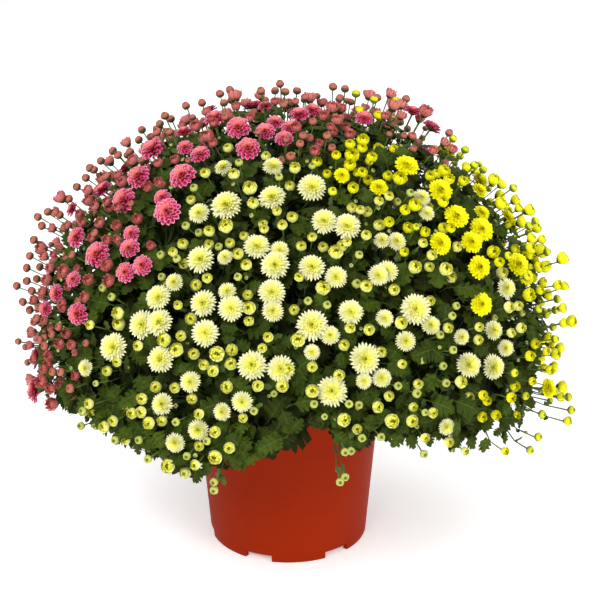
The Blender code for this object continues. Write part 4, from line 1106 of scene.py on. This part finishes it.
def addLeafyStem(bm, name, way):
    lowPoints = sorted((v.co for v in nodes[name].data.vertices), key=lambda p: p.z)[:4]
    foot = sum(lowPoints, Vector()) / 4
    bending = potAxis + Vector((way.x, way.y, 0)) * (leafyStem["spread"] * leafyStem["lean"])
    bending.z = leafyStem["rise"] + leafyStem["middleRise"] * max(way.z, 0)
    low = domeCentre + way * leafyStem["low"]
    curve = bend(foot, (bending - foot) * 0.9, low, -way * 0.05, leafyStem["steps"])
    curve.append(domeCentre + way * leafyStem["top"])
    stem = tubeAlong(bm, curve, [leafyStem["radius"]] * len(curve), 8)
    mark(bm, stem, along=0.0, across=0.0, chance=0.9, layer=1.0)


noise.seed_set(core["seed"])  # noise_vector starts from the time of day unless it is given a seed
for name in leafyNames:
    foliageSkin = newSkin()
    addCore(foliageSkin, name, leafyWays[name])
    addLeafyStem(foliageSkin, name, leafyWays[name])
    for matrix, variant, chance, reach in leaves[name]:
        # painted shade: the deeper a leaf lies in the bush, the darker it is painted
        depth = min(max((core["litReach"] - reach) / core["litDepth"], 0), core["darkestShade"])
        shapes = deepLeafMeshes if reach < core["deepReach"] else leafMeshes
        stamp(foliageSkin, shapes[variant], matrix, chance=chance, youth=depth)
    asPiece(foliageSkin, name + "_foliage", leafFinish, "foliage", name)
print("leafy stems made:", len(leafyNames), "leaves", sum(len(group) for group in leaves.values()))

# The pot: one moulding, turned round its axis, with feet drawn down from its underside
potForm = {"height": 0.240, "footRadius": 0.1075, "draft": 0.0845, "wall": 0.0025, "floor": 0.003,
           "rimHeight": 0.015, "rimStep": 0.003, "rimLedge": 0.0008, "feet": 6, "footHeight": 0.0095,
           "footDepth": 0.007, "firstFoot": -102, "steps": 144, "footSteps": 16, "belt": 0.02,
           "cove": (0.004, 0.002), "round": 0.0006}


def potRadius(height):
    return potForm["footRadius"] + potForm["draft"] * height


def turnedRound(bm, profile, steps, start=0.0):
    points = [bm.verts.new((radius * math.cos(start), radius * math.sin(start), height))
              for radius, height in profile]
    edges = [bm.edges.new(pair) for pair in zip(points, points[1:])]
    bmesh.ops.spin(bm, geom=points + edges, cent=(0, 0, 0), axis=(0, 0, 1), angle=2 * math.pi, steps=steps,
                   use_merge=True)
    bmesh.ops.remove_doubles(bm, verts=bm.verts, dist=1e-6)
    bmesh.ops.recalc_face_normals(bm, faces=bm.faces)


potStart = math.radians(potForm["firstFoot"])
underside = potForm["footHeight"]
footInside = potRadius(underside) - potForm["footDepth"]
floorTop = potForm["footHeight"] + potForm["floor"]
wallInside = potRadius(floorTop) - potForm["wall"]
underRim = potForm["height"] - potForm["rimHeight"]
rimRadius = potRadius(potForm["height"])
potSkin = bmesh.new()
turnedRound(potSkin, [
    (0, underside), (footInside, underside), (potRadius(underside), underside),
    (potRadius(potForm["belt"]), potForm["belt"]), (potRadius(underRim), underRim),
    (potRadius(underRim) + potForm["rimStep"], underRim + potForm["rimLedge"]),
    (rimRadius + potForm["rimStep"], potForm["height"]), (rimRadius - potForm["wall"], potForm["height"]),
    (wallInside, floorTop + potForm["cove"][1]), (wallInside - potForm["cove"][0], floorTop),
    (0, floorTop)], potForm["steps"], potStart)
pitch = potForm["steps"] // potForm["feet"]
feet = []
for face in potSkin.faces:
    middle = face.calc_center_median()
    onRing = abs(middle.z - underside) < 1e-5 and middle.to_2d().length > footInside
    turn = (math.atan2(middle.y, middle.x) - potStart) % (2 * math.pi)
    if onRing and int(turn / (2 * math.pi / potForm["steps"])) % pitch < potForm["footSteps"]:
        feet.append(face)
pulled = bmesh.ops.extrude_face_region(potSkin, geom=feet)["geom"]
bmesh.ops.delete(potSkin, geom=feet, context="FACES_ONLY")
for vert in (v for v in pulled if isinstance(v, bmesh.types.BMVert)):
    isOutside = vert.co.to_2d().length > potRadius(underside) - potForm["footDepth"] / 2
    level = vert.co.to_2d().normalized() * (potRadius(0) - (0 if isOutside else potForm["footDepth"]))
    vert.co = Vector((level.x, level.y, 0))
bmesh.ops.recalc_face_normals(potSkin, faces=potSkin.faces)
sharp = [e for e in potSkin.edges if len(e.link_faces) == 2 and e.calc_face_angle() > math.radians(35)]
bmesh.ops.bevel(potSkin, geom=sharp, offset=potForm["round"], affect="EDGES", segments=2, profile=0.5,
                material=-1)
bmesh.ops.translate(potSkin, verts=potSkin.verts, vec=potAxis)

potFinish = Finish("pottedPlastic", Roughness=0.5, Specular_IOR_Level=0.03)
potNoise = potFinish.speckle(26, 4)
potFine = potFinish.speckle(1400, 2)
potHeight = potFinish.add("ShaderNodeSeparateXYZ", inputs={"Vector": potFinish.place()}, output="Z")
potRise = potFinish.between(potHeight, 0.0, 0.2)
plastic = potFinish.mix(potRise, (0.285, 0.0190, 0.0020), (0.260, 0.0165, 0.0018))
plastic = potFinish.mix(potFinish.between(potNoise, 0.3, 0.8) * 0.3, plastic, (0.32, 0.022, 0.0025))
potFinish.feed("Base Color", plastic)
potFinish.feed("Roughness", 0.44 + potNoise * 0.14)
potFinish.bump(potFine + potNoise * 0.5, 0.0001, 0.4)
asPiece(potSkin, "nursery_pot", potFinish, "pot", "pot")

# The soil: crumbly peat that fills the pot to just under its rim
soilForm = {"level": 0.222, "crown": 0.008, "crownRadius": 0.12, "inset": 0.0031, "aboveFloor": 0.0004,
            "cove": 0.004, "steps": 72, "grain": 90, "rough": 0.0022, "roughShare": 0.95, "crumbs": 420,
            "crumbShare": 0.93, "crumbRadii": (0.0012, 0.0034), "crumbUneven": (0.75, 1.2), "seed": 51}
soilEdge = potRadius(soilForm["level"]) - soilForm["inset"]
soilFloor = floorTop + soilForm["aboveFloor"]


def soilHeight(distance):
    return soilForm["level"] + soilForm["crown"] * (1 - (distance / soilForm["crownRadius"]) ** 2)


soilSkin = bmesh.new()
soilProfile = [(0, soilFloor), (potRadius(floorTop) - soilForm["inset"] - soilForm["cove"], soilFloor)]
soilProfile += [(soilEdge * share, soilHeight(soilEdge * share))
                for share in (1.0, 0.9, 0.8, 0.7, 0.6, 0.5, 0.4, 0.3, 0.2, 0.1, 0)]
turnedRound(soilSkin, soilProfile, soilForm["steps"])
for vert in soilSkin.verts:
    if vert.co.z > 0.2 and vert.co.to_2d().length < soilEdge * soilForm["roughShare"]:
        vert.co.z += noise.noise(vert.co * soilForm["grain"]) * soilForm["rough"]
soilDraw = random.Random(soilForm["seed"])
for i in range(soilForm["crumbs"]):
    distance = soilEdge * soilForm["crumbShare"] * math.sqrt(soilDraw.random())
    angle = soilDraw.uniform(0, 2 * math.pi)
    size = soilDraw.uniform(*soilForm["crumbRadii"])
    crumb = bmesh.ops.create_icosphere(soilSkin, subdivisions=1, radius=size)["verts"]
    for vert in crumb:
        vert.co *= soilDraw.uniform(*soilForm["crumbUneven"])
    place = Vector((distance * math.cos(angle), distance * math.sin(angle), soilHeight(distance)))
    bmesh.ops.translate(soilSkin, verts=crumb, vec=place)
bmesh.ops.translate(soilSkin, verts=soilSkin.verts, vec=potAxis)
soilFinish = Finish("peat", Roughness=0.95)
soilNoise, soilFine = soilFinish.speckle(120, 5), soilFinish.speckle(600, 3)
peat = soilFinish.mix(soilFinish.between(soilNoise, 0.35, 0.7), (0.012, 0.007, 0.004), (0.045, 0.027, 0.016))
peat = soilFinish.mix(soilFinish.between(soilFine, 0.62, 0.72), peat, (0.11, 0.075, 0.045))
soilFinish.feed("Base Color", peat)
soilFinish.feed("Roughness", 0.85 + soilNoise * 0.1)
soilFinish.bump(soilNoise + soilFine * 0.6, 0.0016, 0.9)
asPiece(soilSkin, "potting_soil", soilFinish, "soil", "soil", smooth=False)
print("pot and soil made")

# The studio: a pale floor, and soft light from all round
studio = {"floor": 30, "below": 0.0005, "glow": 0.35, "skyLight": 0.42, "skySeen": 1.05, "aim": (0, 0, 0.3),
          "lamps": {"key": ((-1.0, -2.1, 2.2), 76, 1.2), "fill": ((1.9, -1.6, 1.2), 32, 1.6),
                    "back": ((0.4, 2.0, 2.2), 36, 1.6)}}  # each lamp's place, power in watts and size
floorSkin = bmesh.new()
bmesh.ops.create_grid(floorSkin, x_segments=1, y_segments=1, size=studio["floor"])
floor = bpy.data.objects.new("floor", asMesh(floorSkin, "floor"))
floor.location = (0, 0, -studio["below"])
floorFinish = Finish("paleFloor", Roughness=0.9, Emission_Color=(1, 1, 1, 1), Emission_Strength=studio["glow"])
floorFinish.feed("Base Color", (0.95, 0.95, 0.95))
floor.data.materials.append(floorFinish.material)
scene.collection.objects.link(floor)

world = bpy.data.worlds.new("studio")
world.use_nodes = True
sky = world.node_tree.nodes["Background"]
sky.inputs["Color"].default_value = (1, 1, 1, 1)
seenDirectly = world.node_tree.nodes.new("ShaderNodeLightPath")
strength = world.node_tree.nodes.new("ShaderNodeMapRange")
world.node_tree.links.new(seenDirectly.outputs["Is Camera Ray"], strength.inputs["Value"])
strength.inputs["To Min"].default_value = studio["skyLight"]
strength.inputs["To Max"].default_value = studio["skySeen"]
world.node_tree.links.new(strength.outputs["Result"], sky.inputs["Strength"])
scene.world = world
for name, (place, power, size) in studio["lamps"].items():
    light = bpy.data.lights.new(name, "AREA")
    light.energy, light.size = power, size
    lamp = bpy.data.objects.new(name, light)
    lamp.location = place
    lamp.rotation_euler = (Vector(studio["aim"]) - Vector(place)).to_track_quat("-Z", "Y").to_euler()
    scene.collection.objects.link(lamp)
